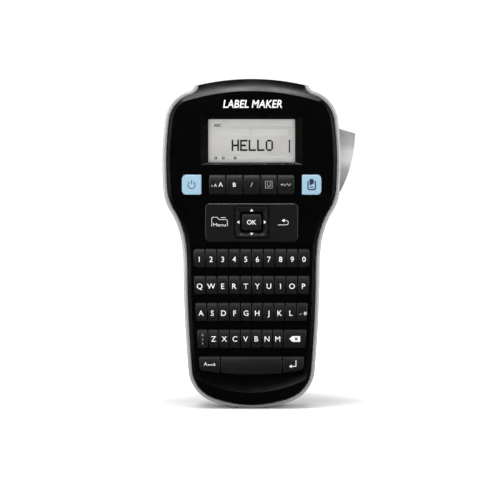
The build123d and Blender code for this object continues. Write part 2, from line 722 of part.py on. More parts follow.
with BuildPart() as ok_key:
    with BuildSketch(depth_plane(KEY_BOTTOM)):
        with Locations((0, NAV_Z + 0.4)):
            RectangleRounded(*OK_SIZE, 0.9)
    extrude(amount=KEY_BOTTOM + 1.5)
    chamfer(ok_key.faces().sort_by(Axis.Y)[0].edges(), length=0.5)
    with BuildSketch(depth_plane(KEY_BOTTOM)):
        with Locations((0, NAV_Z + 0.4)):
            RectangleRounded(13.6, 12.2, 0.9)
    extrude(amount=0.9)
save(ok_key, "ok_key")

# rubber mat with a dome under every key
DOMES = [(x * FUNCTION_PITCH, FUNCTION_Z) for x in range(-2, 3)]
DOMES += [(-BLUE_X, FUNCTION_Z), (BLUE_X, FUNCTION_Z), (-20, NAV_Z), (20, NAV_Z), (0, NAV_Z + 0.4)]
for _, top, top_half, bottom_half in ROWS[:3]:
    reach = (top_half + bottom_half) / 2
    DOMES += [(reach * (place - 4.5) / 5, top - ROW_HEIGHT / 2) for place in range(10)]
LOWER_Z = ROW_TOP - 3 * ROW_PITCH - ROW_HEIGHT / 2
DOMES += [(-23.4 + 6.63 * place, LOWER_Z) for place in range(7)] + [(-30.2, LOWER_Z), (26.7, LOWER_Z)]
DOMES += [(-25.6, 27.5), (0, 27.0), (25.6, 27.5)]

with BuildPart() as keypad_mat:
    with BuildSketch(depth_plane(MAT_BACK)):
        add(body_outline(-WALL - 1.6))
        with Locations((0, 83.6)):
            Rectangle(100, 127.2, mode=Mode.INTERSECT)
        with Locations(*SCREW_SPOTS):
            Circle(BOSS_RADIUS + 0.5, mode=Mode.SUBTRACT)
    extrude(amount=MAT_BACK - MAT_FRONT)
    with BuildSketch(depth_plane(MAT_FRONT + 0.1)):
        with Locations(*DOMES):
            Circle(2.6)
    extrude(amount=2.0, taper=25)
save(keypad_mat, "keypad_mat")

with BuildPart() as main_board:
    with BuildSketch(depth_plane(BOARD_BACK)):
        add(body_outline(-WALL - 1.6))
        with Locations((0, 99)):
            Rectangle(100, 170, mode=Mode.INTERSECT)
        with Locations(*SCREW_SPOTS):
            Circle(BOSS_RADIUS + 0.5, mode=Mode.SUBTRACT)
    extrude(amount=BOARD_BACK - MAT_BACK)
    with BuildSketch(depth_plane(BOARD_BACK + 1.6)):
        with Locations((-22, 104), (-8, 168)):
            Rectangle(14, 14)
        with Locations((12, 104), (-30, 172), (20, 172), (-30, 156)):
            Rectangle(9, 6)
    extrude(amount=1.65)
save(main_board, "main_board")


# ---- mechanism ------------------------------------------------------------------------------------
def gear_sketch(teeth, angle):
    """Spur gear: a root disc with straight-flanked teeth, one of them at the angle given."""
    pitch_radius = MODULE * teeth / 2
    half_pitch_width = 0.19 * math.pi * MODULE
    with BuildSketch() as shape:
        Circle(pitch_radius - 1.2 * MODULE)
        with PolarLocations(pitch_radius, teeth, start_angle=angle):
            Polygon(
                (-1.35 * MODULE, -1.6 * half_pitch_width),
                (0.75 * MODULE, -0.55 * half_pitch_width),
                (0.75 * MODULE, 0.55 * half_pitch_width),
                (-1.35 * MODULE, 1.6 * half_pitch_width),
                align=None,
            )
    return shape.sketch


def direction(start, end):
    return math.degrees(math.atan2(end[1] - start[1], end[0] - start[0]))


def mesh_angle(teeth, other_teeth, other_angle, line):
    """Angle of a tooth that meshes with another gear, the line running from that gear to this one."""
    other_pitch = 360 / other_teeth
    share = ((line - other_angle) % other_pitch) / other_pitch
    return line + 180 - (360 / teeth) * (0.5 - share)


IDLER_ANGLE = 0.0
PINION_ANGLE = mesh_angle(PINION_TEETH, IDLER_TEETH, IDLER_ANGLE, direction(IDLER, MOTOR))
PLATEN_ANGLE = mesh_angle(PLATEN_TEETH, IDLER_TEETH, IDLER_ANGLE, direction(IDLER, PLATEN))
RIBBON_ANGLE = mesh_angle(RIBBON_TEETH, IDLER_TEETH, IDLER_ANGLE, direction(IDLER, RIBBON))
SHAFT = 1.5
SHAFT_FIT = 0.05

with BuildPart() as mechanism_deck:
    with BuildSketch(depth_plane(DECK_BACK)):
        with Locations((-1.5, 150.2)):
            RectangleRounded(83, 58.6, 2)
        with Locations(*SCREW_SPOTS):
            Circle(REAR_BOSS_RADIUS + 0.4, mode=Mode.SUBTRACT)
        with Locations(PLATEN, RIBBON):
            Circle(SHAFT + SHAFT_FIT, mode=Mode.SUBTRACT)
        with Locations(MOTOR):
            Circle(3.0, mode=Mode.SUBTRACT)
    extrude(amount=DECK_BACK - DECK_FRONT)
    # bearing bosses in front of the deck
    with BuildSketch(depth_plane(DECK_FRONT)):
        with Locations(PLATEN, RIBBON):
            Circle(SHAFT + 1.6)
            Circle(SHAFT + SHAFT_FIT, mode=Mode.SUBTRACT)
    extrude(amount=DECK_FRONT - GEAR_BACK - 0.4)
    # fixed pin of the idler
    with BuildSketch(depth_plane(DECK_FRONT)):
        with Locations(IDLER):
            Circle(SHAFT)
    extrude(amount=DECK_FRONT - GEAR_FRONT + 0.6)
    with BuildSketch(depth_plane(DECK_FRONT)):
        with Locations(IDLER):
            Circle(SHAFT + 1.6)
    extrude(amount=DECK_FRONT - GEAR_BACK - 0.4)
    # feet down to the front cover's skirt side, clear of the gears
    with BuildSketch(depth_plane(DECK_FRONT)):
        with Locations((-39, 140), (-39, 174), (36, 174)):
            Circle(2.2)
    extrude(amount=DECK_FRONT - BOARD_BACK)
    # post that the cutter's spring pushes against
    with BuildSketch(depth_plane(35)):
        with Locations((33.4, 172.5)):
            Rectangle(2, 5)
    extrude(amount=35 - DECK_BACK)
    # floor and side walls of the cassette bay
    with BuildSketch(depth_plane(CASSETTE_BACK - 4)):
        with Locations((CASSETTE[0] - 1.7, 142)):
            Rectangle(1.6, 46)
        with Locations((-8, CASSETTE[3] + 1.7)):
            Rectangle(40, 1.6)
    extrude(amount=CASSETTE_BACK - 4 - DECK_BACK)
save(mechanism_deck, "mechanism_deck")

with BuildPart() as drive_motor:
    with BuildSketch(depth_plane(DECK_BACK + 20.4)):
        with Locations(MOTOR):
            Circle(MOTOR_RADIUS)
    extrude(amount=20.4)
    chamfer(drive_motor.edges().filter_by(GeomType.CIRCLE), length=0.8)
    with BuildSketch(depth_plane(DECK_BACK)):
        with Locations(MOTOR):
            Circle(2.8)
    extrude(amount=DECK_BACK - GEAR_BACK - 0.8)
    with BuildSketch(depth_plane(DECK_BACK)):
        with Locations(MOTOR):
            Circle(1.05)
    extrude(amount=6, mode=Mode.SUBTRACT)
save(drive_motor, "drive_motor")

with BuildPart() as motor_pinion:
    with BuildSketch(depth_plane(GEAR_BACK)):
        with Locations(MOTOR):
            add(gear_sketch(PINION_TEETH, PINION_ANGLE))
    extrude(amount=GEAR_BACK - GEAR_FRONT)
    with BuildSketch(depth_plane(DECK_FRONT)):
        with Locations(MOTOR):
            Circle(1.0)
    extrude(amount=DECK_FRONT - GEAR_BACK)
save(motor_pinion, "motor_pinion")

with BuildPart() as idler_gear:
    with BuildSketch(depth_plane(GEAR_BACK)):
        with Locations(IDLER):
            add(gear_sketch(IDLER_TEETH, IDLER_ANGLE))
            Circle(SHAFT + SHAFT_FIT, mode=Mode.SUBTRACT)
    extrude(amount=GEAR_BACK - GEAR_FRONT)
    with BuildSketch(depth_plane(GEAR_FRONT + 1)):
        with Locations(IDLER):
            Circle(7.2)
            Circle(3.6, mode=Mode.SUBTRACT)
    extrude(amount=1, mode=Mode.SUBTRACT)
save(idler_gear, "idler_gear")

with BuildPart() as platen_gear:
    with BuildSketch(depth_plane(GEAR_BACK)):
        with Locations(PLATEN):
            add(gear_sketch(PLATEN_TEETH, PLATEN_ANGLE))
    extrude(amount=GEAR_BACK - GEAR_FRONT)
    with BuildSketch(depth_plane(TAPE_BACK + 2.4)):
        with Locations(PLATEN):
            Circle(SHAFT)
    extrude(amount=TAPE_BACK + 2.4 - GEAR_BACK)
save(platen_gear, "platen_gear")

with BuildPart() as platen_roller:
    with BuildSketch(depth_plane(TAPE_BACK + 1)):
        with Locations(PLATEN):
            Circle(PLATEN_RADIUS)
            Circle(SHAFT, mode=Mode.SUBTRACT)
    extrude(amount=TAPE_BACK - TAPE_FRONT + 2)
save(platen_roller, "platen_roller")

with BuildPart() as ribbon_spindle:
    with BuildSketch(depth_plane(GEAR_BACK)):
        with Locations(RIBBON):
            add(gear_sketch(RIBBON_TEETH, RIBBON_ANGLE))
    extrude(amount=GEAR_BACK - GEAR_FRONT)
    with BuildSketch(depth_plane(TAPE_BACK)):
        with Locations(RIBBON):
            Circle(SHAFT)
    extrude(amount=TAPE_BACK - GEAR_BACK)
    with BuildSketch(depth_plane(TAPE_BACK)):
        with Locations(RIBBON):
            with PolarLocations(SHAFT, 6):
                Rectangle(1.2, 0.8)
    extrude(amount=TAPE_BACK - TAPE_FRONT)
save(ribbon_spindle, "ribbon_spindle")

with BuildPart() as print_head:
    with BuildSketch(depth_plane(TAPE_BACK)):
        with Locations((TAPE_X - 1.0, PLATEN[1])):
            Rectangle(1.4, 9)
        with Locations((TAPE_X - 3.0, PLATEN[1] + 0.4)):
            Rectangle(2.8, 11)
    extrude(amount=TAPE_BACK - TAPE_FRONT)
    with BuildSketch(depth_plane(TAPE_FRONT)):
        with Locations((TAPE_X - 3.0, PLATEN[1] + 0.4)):
            Rectangle(2.8, 11)
    extrude(amount=TAPE_FRONT - DECK_BACK)
save(print_head, "print_head")

NOTCH = (12.4, 150.4)  # lower left corner of the cassette's notch for the head and the platen
with BuildPart() as tape_cassette:
    with BuildSketch(depth_plane(CASSETTE_BACK)) as plan:
        with Locations(((CASSETTE[0] + CASSETTE[1]) / 2, (CASSETTE[2] + CASSETTE[3]) / 2)):
            Rectangle(CASSETTE[1] - CASSETTE[0], CASSETTE[3] - CASSETTE[2])
        with Locations((NOTCH[0] + 10, NOTCH[1] + 15)):
            Rectangle(20, 30, mode=Mode.SUBTRACT)
        fillet(plan.vertices().group_by(Axis.Y)[0], radius=2)
    extrude(amount=CASSETTE_BACK - CASSETTE_FRONT)
    with BuildSketch(depth_plane(CASSETTE_BACK - 1.4)) as room:
        with Locations(((CASSETTE[0] + CASSETTE[1]) / 2, (CASSETTE[2] + CASSETTE[3]) / 2)):
            Rectangle(CASSETTE[1] - CASSETTE[0] - 2.8, CASSETTE[3] - CASSETTE[2] - 2.8)
        with Locations((NOTCH[0] + 8.6, NOTCH[1] + 13.6)):
            Rectangle(20, 30, mode=Mode.SUBTRACT)
    extrude(amount=CASSETTE_BACK - CASSETTE_FRONT - 2.8, mode=Mode.SUBTRACT)
    # exit for the tape, hubs for the two rolls, and the guide post at the corner
    with BuildSketch(depth_plane(TAPE_BACK + 0.8)):
        with Locations((TAPE_X, NOTCH[1])):
            Rectangle(1.6, 6)
    extrude(amount=TAPE_BACK - TAPE_FRONT + 1.6, mode=Mode.SUBTRACT)
    with BuildSketch(depth_plane(CASSETTE_FRONT + 1.5)):
        with Locations(RIBBON):
            Circle(SHAFT + 0.9)
    extrude(amount=2, mode=Mode.SUBTRACT)
    with BuildSketch(depth_plane(CASSETTE_BACK - 1)):
        with Locations(LABEL_ROLL):
            Circle(4)
        with Locations(POST):
            Circle(POST_RADIUS)
    extrude(amount=CASSETTE_BACK - CASSETTE_FRONT - 1.4)
    with BuildSketch(depth_plane(CASSETTE_BACK + 1)):
        with Locations(RIBBON):
            Circle(2.6)
    extrude(amount=3, mode=Mode.SUBTRACT)
save(tape_cassette, "tape_cassette")

with BuildPart() as label_roll:
    with BuildSketch(depth_plane(TAPE_BACK)):
        with Locations(LABEL_ROLL):
            Circle(LABEL_ROLL_RADIUS)
            Circle(4.05, mode=Mode.SUBTRACT)
    extrude(amount=TAPE_BACK - TAPE_FRONT)
save(label_roll, "label_roll")

with BuildPart() as ribbon_roll:
    with BuildSketch(depth_plane(TAPE_BACK - 0.5)):
        with Locations(RIBBON):
            Circle(RIBBON_ROLL_RADIUS)
            Circle(SHAFT + 0.7, mode=Mode.SUBTRACT)
    extrude(amount=TAPE_BACK - TAPE_FRONT - 1)
save(ribbon_roll, "ribbon_roll")

# label tape: off the roll, round the guide post, then straight up to the exit slot
with BuildPart() as label_strip:
    with BuildSketch(depth_plane(TAPE_BACK)):
        with BuildLine():
            lean = math.radians(-104.3)
            roll_reach = LABEL_ROLL_RADIUS + 0.4
            off_roll = (
                LABEL_ROLL[0] + roll_reach * math.cos(lean),
                LABEL_ROLL[1] + roll_reach * math.sin(lean),
            )
            post_reach = TAPE_X - POST[0]
            round_post = (POST[0] + post_reach * math.cos(lean), POST[1] + post_reach * math.sin(lean))
            path = Line(off_roll, round_post)
            bend = TangentArc(path @ 1, (TAPE_X, POST[1]), tangent=path % 1)
            Line(bend @ 1, (TAPE_X, BLADE_Z + 1.8))
        trace(line_width=0.14)
    extrude(amount=TAPE_BACK - TAPE_FRONT)
save(label_strip, "label_strip")

# ---- cutter ---------------------------------------------------------------------------------------
with BuildPart() as cutter_button:
    with BuildSketch(depth_plane(BUTTON_BACK)) as side_view:
        with BuildLine():
            top = Line((51.6, 175.2), (64.9, 171.4))
            outer = Spline(top @ 1, (63.8, 160.0), (60.5, 146.4), (55.7, 135.2))
            bottom = Line(outer @ 1, (52.6, 134.6))
            Line(bottom @ 1, top @ 0)
        make_face()
    extrude(amount=BUTTON_BACK - BUTTON_FRONT)
    # open behind and inside
    with BuildSketch(depth_plane(BUTTON_BACK - 2)):
        with BuildLine():
            Polyline((50, 172.4), (61.4, 169.2), (60.4, 158.6), (54.8, 139.6), (50, 139.6), close=True)
        make_face()
    extrude(amount=BUTTON_BACK - BUTTON_FRONT - 4, mode=Mode.SUBTRACT)
    # arm with the pivot eye, and the tongue that pushes the blade carrier
    with BuildSketch(depth_plane(BUTTON_BACK - 4)):
        with Locations(PIVOT):
            Circle(2.8)
        with BuildLine():
            Polyline((49.5, 134.9), (54.6, 134.9), (55.6, 141.6), (49.5, 140.5), close=True)
        make_face()
    extrude(amount=BUTTON_BACK - BUTTON_FRONT - 8)
    with BuildSketch(depth_plane(BUTTON_BACK)):
        with Locations(PIVOT):
            Circle(1.0)
    extrude(amount=BUTTON_BACK - BUTTON_FRONT, mode=Mode.SUBTRACT)
save(cutter_button, "cutter_button")

with BuildPart() as cutter_pivot_pin:
    with BuildSketch(depth_plane(BUTTON_BACK + 2.4)):
        with Locations(PIVOT):
            Circle(0.95)
    extrude(amount=BUTTON_BACK - BUTTON_FRONT + 3.2)
save(cutter_pivot_pin, "cutter_pivot_pin")

with BuildPart() as blade_carrier:
    with BuildSketch(depth_plane(TAPE_BACK)):
        with BuildLine():
            Polyline(
                (27.4, BLADE_Z - 2.6), (46.2, BLADE_Z - 2.6), (46.2, 168.4), (48.6, 168.4),
                (48.6, BLADE_Z + 2.6), (27.4, BLADE_Z + 2.6), close=True,
            )
        make_face()
    extrude(amount=TAPE_BACK - TAPE_FRONT - 4)
save(blade_carrier, "blade_carrier")

with BuildPart() as cutter_blade:
    with BuildSketch(Plane.XY.offset(BLADE_Z + 2.6)):
        with BuildLine():
            Polyline(
                (TAPE_X + 1.4, y_at(TAPE_FRONT) - 1),
                (TAPE_X + 4.2, y_at(TAPE_BACK) + 1),
                (TAPE_X + 12, y_at(TAPE_BACK) + 1),
                (TAPE_X + 12, y_at(TAPE_FRONT) - 1),
                close=True,
            )
        make_face()
    extrude(amount=0.5)
save(cutter_blade, "cutter_blade")

with BuildPart() as cutter_spring:
    with BuildLine():
        coil = Helix(
            pitch=1.9, height=10.9, radius=1.7, center=(34.8, y_at(32), 172.5), direction=(1, 0, 0)
        )
    with BuildSketch(Plane(origin=coil @ 0, z_dir=coil % 0)):
        Circle(0.3)
    sweep(is_frenet=True)
save(cutter_spring, "cutter_spring")

# ---- power ----------------------------------------------------------------------------------------
JACK_TOP = BODY_TOP[1] - 0.1
with BuildPart() as power_jack:
    with BuildSketch(Plane.XY.offset(JACK_TOP - 13)):
        with Locations((JACK[0], y_at(JACK[1]))):
            Rectangle(9.4, 11)
    extrude(amount=13)
    with BuildSketch(Plane.XY.offset(JACK_TOP)):
        with Locations((JACK[0], y_at(JACK[1]))):
            Circle(2.8)
            Circle(0.9, mode=Mode.SUBTRACT)
    extrude(amount=-9.5, mode=Mode.SUBTRACT)
save(power_jack, "power_jack")

CELLS = [(place - 2.5) * CELL_PITCH for place in range(6)]
CELL_LOW = (BAY_LOW + BAY_HIGH - CELL_LENGTH) / 2
with BuildPart() as batteries:
    for place, x in enumerate(CELLS):
        nub_low = CELL_LOW if place % 2 else CELL_LOW + CELL_LENGTH - 1
        body_low = CELL_LOW + 1 if place % 2 else CELL_LOW
        with BuildSketch(Plane.XY.offset(body_low)):
            with Locations((x, y_at(CELL_DEPTH))):
                Circle(CELL_RADIUS)
        extrude(amount=CELL_LENGTH - 1)
        with BuildSketch(Plane.XY.offset(nub_low)):
            with Locations((x, y_at(CELL_DEPTH))):
                Circle(1.8)
        extrude(amount=1)
save(batteries, "batteries")

with BuildPart() as battery_contacts:
    for place, x in enumerate(CELLS):
        for low, inward in ((BAY_LOW, 1), (BAY_HIGH, -1)):
            with BuildSketch(Plane.XY.offset(low)):
                with Locations((x, y_at(CELL_DEPTH))):
                    RectangleRounded(8.4, 9.0, 1.0)
            extrude(amount=0.4 * inward)
        low, inward = (BAY_HIGH - 0.4, -1) if place % 2 else (BAY_LOW + 0.4, 1)
        with BuildLine(mode=Mode.PRIVATE):
            turns = Helix(
                pitch=1.3,
                height=3.6,
                radius=3.4,
                center=(x, y_at(CELL_DEPTH), low),
                direction=(0, 0, inward),
                cone_angle=-18,
            )
        with BuildSketch(Plane(origin=turns @ 0, z_dir=turns % 0)):
            Circle(0.3)
        sweep(path=turns, is_frenet=True)
save(battery_contacts, "battery_contacts")

with BuildPart() as battery_cover:
    with BuildSketch(depth_plane(GRIP_BACK)):
        with Locations((0, (COVER_LOW + COVER_HIGH) / 2)):
            RectangleRounded(2 * COVER_HALF, COVER_HIGH - COVER_LOW, 1.2)
    extrude(amount=GRIP_BACK - COVER_SEAT)
    # thumb recess with grip bars
    with BuildSketch(depth_plane(GRIP_BACK)):
        with Locations((0, COVER_HIGH - 9)):
            SlotOverall(24, 10)
    extrude(amount=0.7, mode=Mode.SUBTRACT)
    with BuildSketch(depth_plane(GRIP_BACK)):
        with Locations(*[(0, COVER_HIGH - 9 + 2.4 * bar) for bar in (-1, 0, 1)]):
            Rectangle(16, 0.8)
    extrude(amount=0.9)
    # stiffening ribs inside, between the cells
    with BuildSketch(depth_plane(COVER_SEAT)):
        with Locations((-2 * CELL_PITCH, 54.2), (0, 54.2), (2 * CELL_PITCH, 54.2)):
            Rectangle(1.2, 40)
    extrude(amount=1.2)
save(battery_cover, "battery_cover")

# ---- cassette door --------------------------------------------------------------------------------
DOOR_WINDOW = (-14.0, 147.0, 26.0, 15.0)  # centre x and z, width and height of the opening
with BuildPart() as cassette_door:
    with BuildSketch(depth_plane(HEAD_BACK)) as leaf:
        with Locations(((DOOR_LEFT + DOOR_RIGHT) / 2, (HINGE_Z + DOOR_HIGH) / 2)):
            Rectangle(DOOR_RIGHT - DOOR_LEFT, DOOR_HIGH - HINGE_Z)
        fillet(leaf.vertices().group_by(Axis.Y)[-1], radius=2.5)
        with Locations(DOOR_WINDOW[:2]):
            RectangleRounded(*DOOR_WINDOW[2:], 2, mode=Mode.SUBTRACT)
    extrude(amount=HEAD_BACK - DOOR_FRONT)
    # barrel along the lower edge, with pins at its ends
    with BuildSketch(Plane.YZ.offset(DOOR_LEFT)):
        with Locations((y_at(HINGE_DEPTH), HINGE_Z)):
            Circle(HEAD_BACK - HINGE_DEPTH)
    extrude(amount=DOOR_RIGHT - DOOR_LEFT)
    with BuildSketch(Plane.YZ.offset(DOOR_LEFT - 2)):
        with Locations((y_at(HINGE_DEPTH), HINGE_Z)):
            Circle(0.8)
    extrude(amount=DOOR_RIGHT - DOOR_LEFT + 4)
    # pressure ribs inside, and grip grooves at the top
    with BuildSketch(depth_plane(DOOR_FRONT)):
        with Locations((-34, 148), (12, 148)):
            Rectangle(1.4, 44)
        with Locations((-11, 124), (-11, 170)):
            Rectangle(47, 1.4)
    extrude(amount=2.2)
    with BuildSketch(depth_plane(HEAD_BACK)):
        with Locations(*[((DOOR_LEFT + DOOR_RIGHT) / 2, DOOR_HIGH - 4 - 2.6 * bar) for bar in range(3)]):
            Rectangle(20, 0.9)
    extrude(amount=0.4, mode=Mode.SUBTRACT)
save(cassette_door, "cassette_door")

with BuildPart() as door_window:
    with BuildSketch(depth_plane(DOOR_FRONT)):
        with Locations(DOOR_WINDOW[:2]):
            RectangleRounded(DOOR_WINDOW[2] + 4, DOOR_WINDOW[3] + 4, 3)
    extrude(amount=1.0)
    with BuildSketch(depth_plane(HEAD_BACK - 0.4)):
        with Locations(DOOR_WINDOW[:2]):
            RectangleRounded(DOOR_WINDOW[2] - 0.1, DOOR_WINDOW[3] - 0.1, 1.95)
    extrude(amount=HEAD_BACK - 0.4 - DOOR_FRONT)
save(door_window, "door_window")
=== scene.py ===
import json
import math

import bmesh
import bpy
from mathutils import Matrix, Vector


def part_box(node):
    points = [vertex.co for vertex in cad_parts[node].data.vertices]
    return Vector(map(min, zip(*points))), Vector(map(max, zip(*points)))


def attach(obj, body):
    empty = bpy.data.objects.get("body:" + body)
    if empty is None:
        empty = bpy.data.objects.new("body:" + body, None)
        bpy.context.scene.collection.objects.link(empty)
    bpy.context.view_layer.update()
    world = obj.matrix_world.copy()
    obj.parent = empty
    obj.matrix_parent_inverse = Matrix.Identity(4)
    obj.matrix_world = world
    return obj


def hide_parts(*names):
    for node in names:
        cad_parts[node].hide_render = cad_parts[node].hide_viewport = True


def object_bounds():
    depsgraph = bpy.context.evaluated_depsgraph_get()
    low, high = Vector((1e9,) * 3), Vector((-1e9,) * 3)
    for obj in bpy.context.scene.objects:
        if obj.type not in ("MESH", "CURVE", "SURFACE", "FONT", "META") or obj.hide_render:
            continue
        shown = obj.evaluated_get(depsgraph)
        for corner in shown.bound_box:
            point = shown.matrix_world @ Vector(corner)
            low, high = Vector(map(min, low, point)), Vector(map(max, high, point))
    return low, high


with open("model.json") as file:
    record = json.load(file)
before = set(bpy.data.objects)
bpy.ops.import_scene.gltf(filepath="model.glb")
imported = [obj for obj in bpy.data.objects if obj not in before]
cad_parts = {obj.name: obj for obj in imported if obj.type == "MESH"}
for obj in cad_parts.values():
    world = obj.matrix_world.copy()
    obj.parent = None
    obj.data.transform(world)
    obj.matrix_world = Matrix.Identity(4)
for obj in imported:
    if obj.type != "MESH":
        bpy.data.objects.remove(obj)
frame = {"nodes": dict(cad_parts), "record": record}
CAD_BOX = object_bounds()

MM = 0.001
NODES = frame["nodes"]
LIFT = 0.02 * MM  # printed marks stand this far off the surface
INK = 0.03 * MM  # and are this thick
CAP = 3.45 * MM  # height of the letters on the keys
RING_DROP = 0.9 * MM  # how far the arrow ring's top slopes down between its rim and the OK key
RING_RIM = 1.2 * MM  # and how far in from its outer edge that slope starts, for the arrows on it


def front_of(node):
    """Middle of a node in x and z, and the y of its front."""
    low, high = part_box(node)
    return (low[0] + high[0]) / 2, (low[2] + high[2]) / 2, low[1]


# ---- materials ------------------------------------------------------------------------------------
def surface(name, color, roughness, metallic=0.0, coat=0.0, coat_roughness=0.1, specular=0.5):
    """A Principled material with its constant values set on the shader's own sockets."""
    material = bpy.data.materials.new(name)
    material.use_nodes = True
    shader = material.node_tree.nodes["Principled BSDF"]
    shader.inputs["Base Color"].default_value = (*color, 1)
    shader.inputs["Roughness"].default_value = roughness
    shader.inputs["Metallic"].default_value = metallic
    shader.inputs["Coat Weight"].default_value = coat
    shader.inputs["Coat Roughness"].default_value = coat_roughness
    shader.inputs["Specular IOR Level"].default_value = specular
    return material, shader


def add_node(material, kind, **values):
    """A new node of the material's tree, with the values given."""
    node = material.node_tree.nodes.new(kind)
    for key, value in values.items():
        setattr(node, key, value)
    return node


def noise(material, scale, detail=2.0, stretch=(1, 1, 1)):
    """Noise in object space, in metres, so its grain keeps one size on every piece."""
    place = add_node(material, "ShaderNodeTexCoord")
    mapping = add_node(material, "ShaderNodeMapping")
    mapping.inputs["Scale"].default_value = stretch
    texture = add_node(material, "ShaderNodeTexNoise")
    texture.inputs["Scale"].default_value = scale
    texture.inputs["Detail"].default_value = detail
    link = material.node_tree.links.new
    link(place.outputs["Object"], mapping.inputs["Vector"])
    link(mapping.outputs["Vector"], texture.inputs["Vector"])
    return texture.outputs["Fac"]


def vary(material, factor, low, high, socket):
    """Maps a 0-1 pattern to a range and feeds a shader socket."""
    span = add_node(material, "ShaderNodeMapRange")
    span.inputs["From Min"].default_value = 0.3
    span.inputs["From Max"].default_value = 0.7
    span.inputs["To Min"].default_value = low
    span.inputs["To Max"].default_value = high
    material.node_tree.links.new(factor, span.inputs["Value"])
    material.node_tree.links.new(span.outputs["Result"], socket)


def tint(material, shader, factor, dark, light):
    """Blends two close colours by a pattern."""
    ramp = add_node(material, "ShaderNodeValToRGB")
    ramp.color_ramp.elements[0].position = 0.35
    ramp.color_ramp.elements[0].color = (*dark, 1)
    ramp.color_ramp.elements[1].position = 0.65
    ramp.color_ramp.elements[1].color = (*light, 1)
    material.node_tree.links.new(factor, ramp.inputs["Fac"])
    material.node_tree.links.new(ramp.outputs["Color"], shader.inputs["Base Color"])


def bump(material, shader, factor, height_mm):
    """Raises the surface by a pattern, its full height in millimetres."""
    node = add_node(material, "ShaderNodeBump")
    node.inputs["Distance"].default_value = height_mm * MM
    material.node_tree.links.new(factor, node.inputs["Height"])
    material.node_tree.links.new(node.outputs["Normal"], shader.inputs["Normal"])


def moulded(name, color, roughness, grain=2600, height=0.012, spread=0.05, shift=0.04, **more):
    """Injection-moulded or painted plastic: a fine spark texture, slightly uneven gloss and tone."""
    material, shader = surface(name, color, roughness, **more)
    bump(material, shader, noise(material, grain, 3), height)
    low, high = roughness - spread, roughness + spread
    vary(material, noise(material, 60, 2), low, high, shader.inputs["Roughness"])
    dark = [channel * (1 - shift) for channel in color]
    light = [channel * (1 + shift) for channel in color]
    tint(material, shader, noise(material, 140, 4), dark, light)
    return material


def ink(name, color, roughness, shift, **more):
    """Printed ink: fine grained and nearly matt."""
    return moulded(name, color, roughness, grain=1500, height=0.004, shift=shift, **more)


def metal(name, color, roughness, stretch=(1, 1, 1), grain=900, height=0.004):
    """Drawn, ground or plated metal, its scratches drawn out along one axis."""
    material, shader = surface(name, color, roughness, metallic=1.0)
    scratches = noise(material, grain, 4, stretch)
    bump(material, shader, scratches, height)
    vary(material, scratches, roughness - 0.08, roughness + 0.1, shader.inputs["Roughness"])
    tint(material, shader, noise(material, 200, 3), [c * 0.85 for c in color], color)
    return material


def brush_by_height(material):
    """Painted reflection: the silver's base colour is ramped by height in horizontal bands, darker at the
    top and foot and brightest where the thumb lever bulges furthest.
    """
    place = add_node(material, "ShaderNodeTexCoord")
    split = add_node(material, "ShaderNodeSeparateXYZ")
    span = add_node(material, "ShaderNodeMapRange")
    ramp = add_node(material, "ShaderNodeValToRGB")
    low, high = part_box("cutter_button")
    span.inputs["From Min"].default_value = low[2]
    span.inputs["From Max"].default_value = high[2]
    # painted reflection: the grey tone of the base colour at each fraction of the button's height
    painted_reflection_stops = (
        (0, 0.34), (0.2, 0.40), (0.36, 0.50), (0.48, 0.82),
        (0.62, 0.78), (0.74, 0.52), (0.92, 0.42), (1, 0.5),
    )
    while len(ramp.color_ramp.elements) < len(painted_reflection_stops):
        ramp.color_ramp.elements.new(0.5)
    for element, (position, tone) in zip(ramp.color_ramp.elements, painted_reflection_stops):
        element.position = position
        element.color = (tone, tone, tone * 1.01, 1)
    link = material.node_tree.links.new
    link(place.outputs["Object"], split.inputs["Vector"])
    link(split.outputs["Z"], span.inputs["Value"])
    link(span.outputs["Result"], ramp.inputs["Fac"])
    link(ramp.outputs["Color"], material.node_tree.nodes["Principled BSDF"].inputs["Base Color"])


NAV_BLACK = moulded("nav_black", (0.006, 0.006, 0.007), 0.40, grain=3200, height=0.005)
SILVER = moulded(
    "shell_silver", (0.64, 0.64, 0.645), 0.26, metallic=0.5,
    grain=5200, height=0.003, spread=0.012, shift=0.012,
)
BUTTON_SILVER_PAINTED_REFLECTION = moulded(
    "button_silver_painted_reflection", (0.60, 0.60, 0.605), 0.28, metallic=0.3,
    grain=5200, height=0.003, spread=0.02, shift=0.02,
)
# paints a reflection band into the button's silver, brightest across its middle
brush_by_height(BUTTON_SILVER_PAINTED_REFLECTION)
BLUE = moulded("key_blue", (0.29, 0.46, 0.58), 0.38, height=0.004, shift=0.04, coat=0.3)
DARK_PART = moulded("part_dark", (0.02, 0.02, 0.022), 0.5)
GREY_PART = moulded("part_grey", (0.42, 0.42, 0.41), 0.5)
ACETAL = moulded("gear_acetal", (0.72, 0.72, 0.69), 0.42)
RUBBER = moulded("rubber_black", (0.012, 0.012, 0.012), 0.8, grain=1800, height=0.02)
SILICONE = moulded("rubber_grey", (0.010, 0.010, 0.011), 0.75, grain=1800, height=0.01)
BOARD = moulded("board_green", (0.012, 0.085, 0.03), 0.35, grain=900, height=0.01, coat=0.4)
TAPE = moulded("label_white", (0.78, 0.78, 0.76), 0.3, grain=800, height=0.003, shift=0.03)
FILM = moulded("ribbon_black", (0.01, 0.01, 0.012), 0.22, grain=900, height=0.003)
STEEL = metal("steel_plated", (0.55, 0.55, 0.56), 0.28)
CAN = metal("steel_can", (0.60, 0.60, 0.61), 0.32, stretch=(1, 0.1, 1))
ALLOY = metal("alloy_milled", (0.70, 0.70, 0.71), 0.3, stretch=(1, 1, 0.1))
BLACK_STEEL = metal("steel_black", (0.12, 0.12, 0.125), 0.38)
BRASS = metal("brass_machined", (0.68, 0.48, 0.18), 0.3)
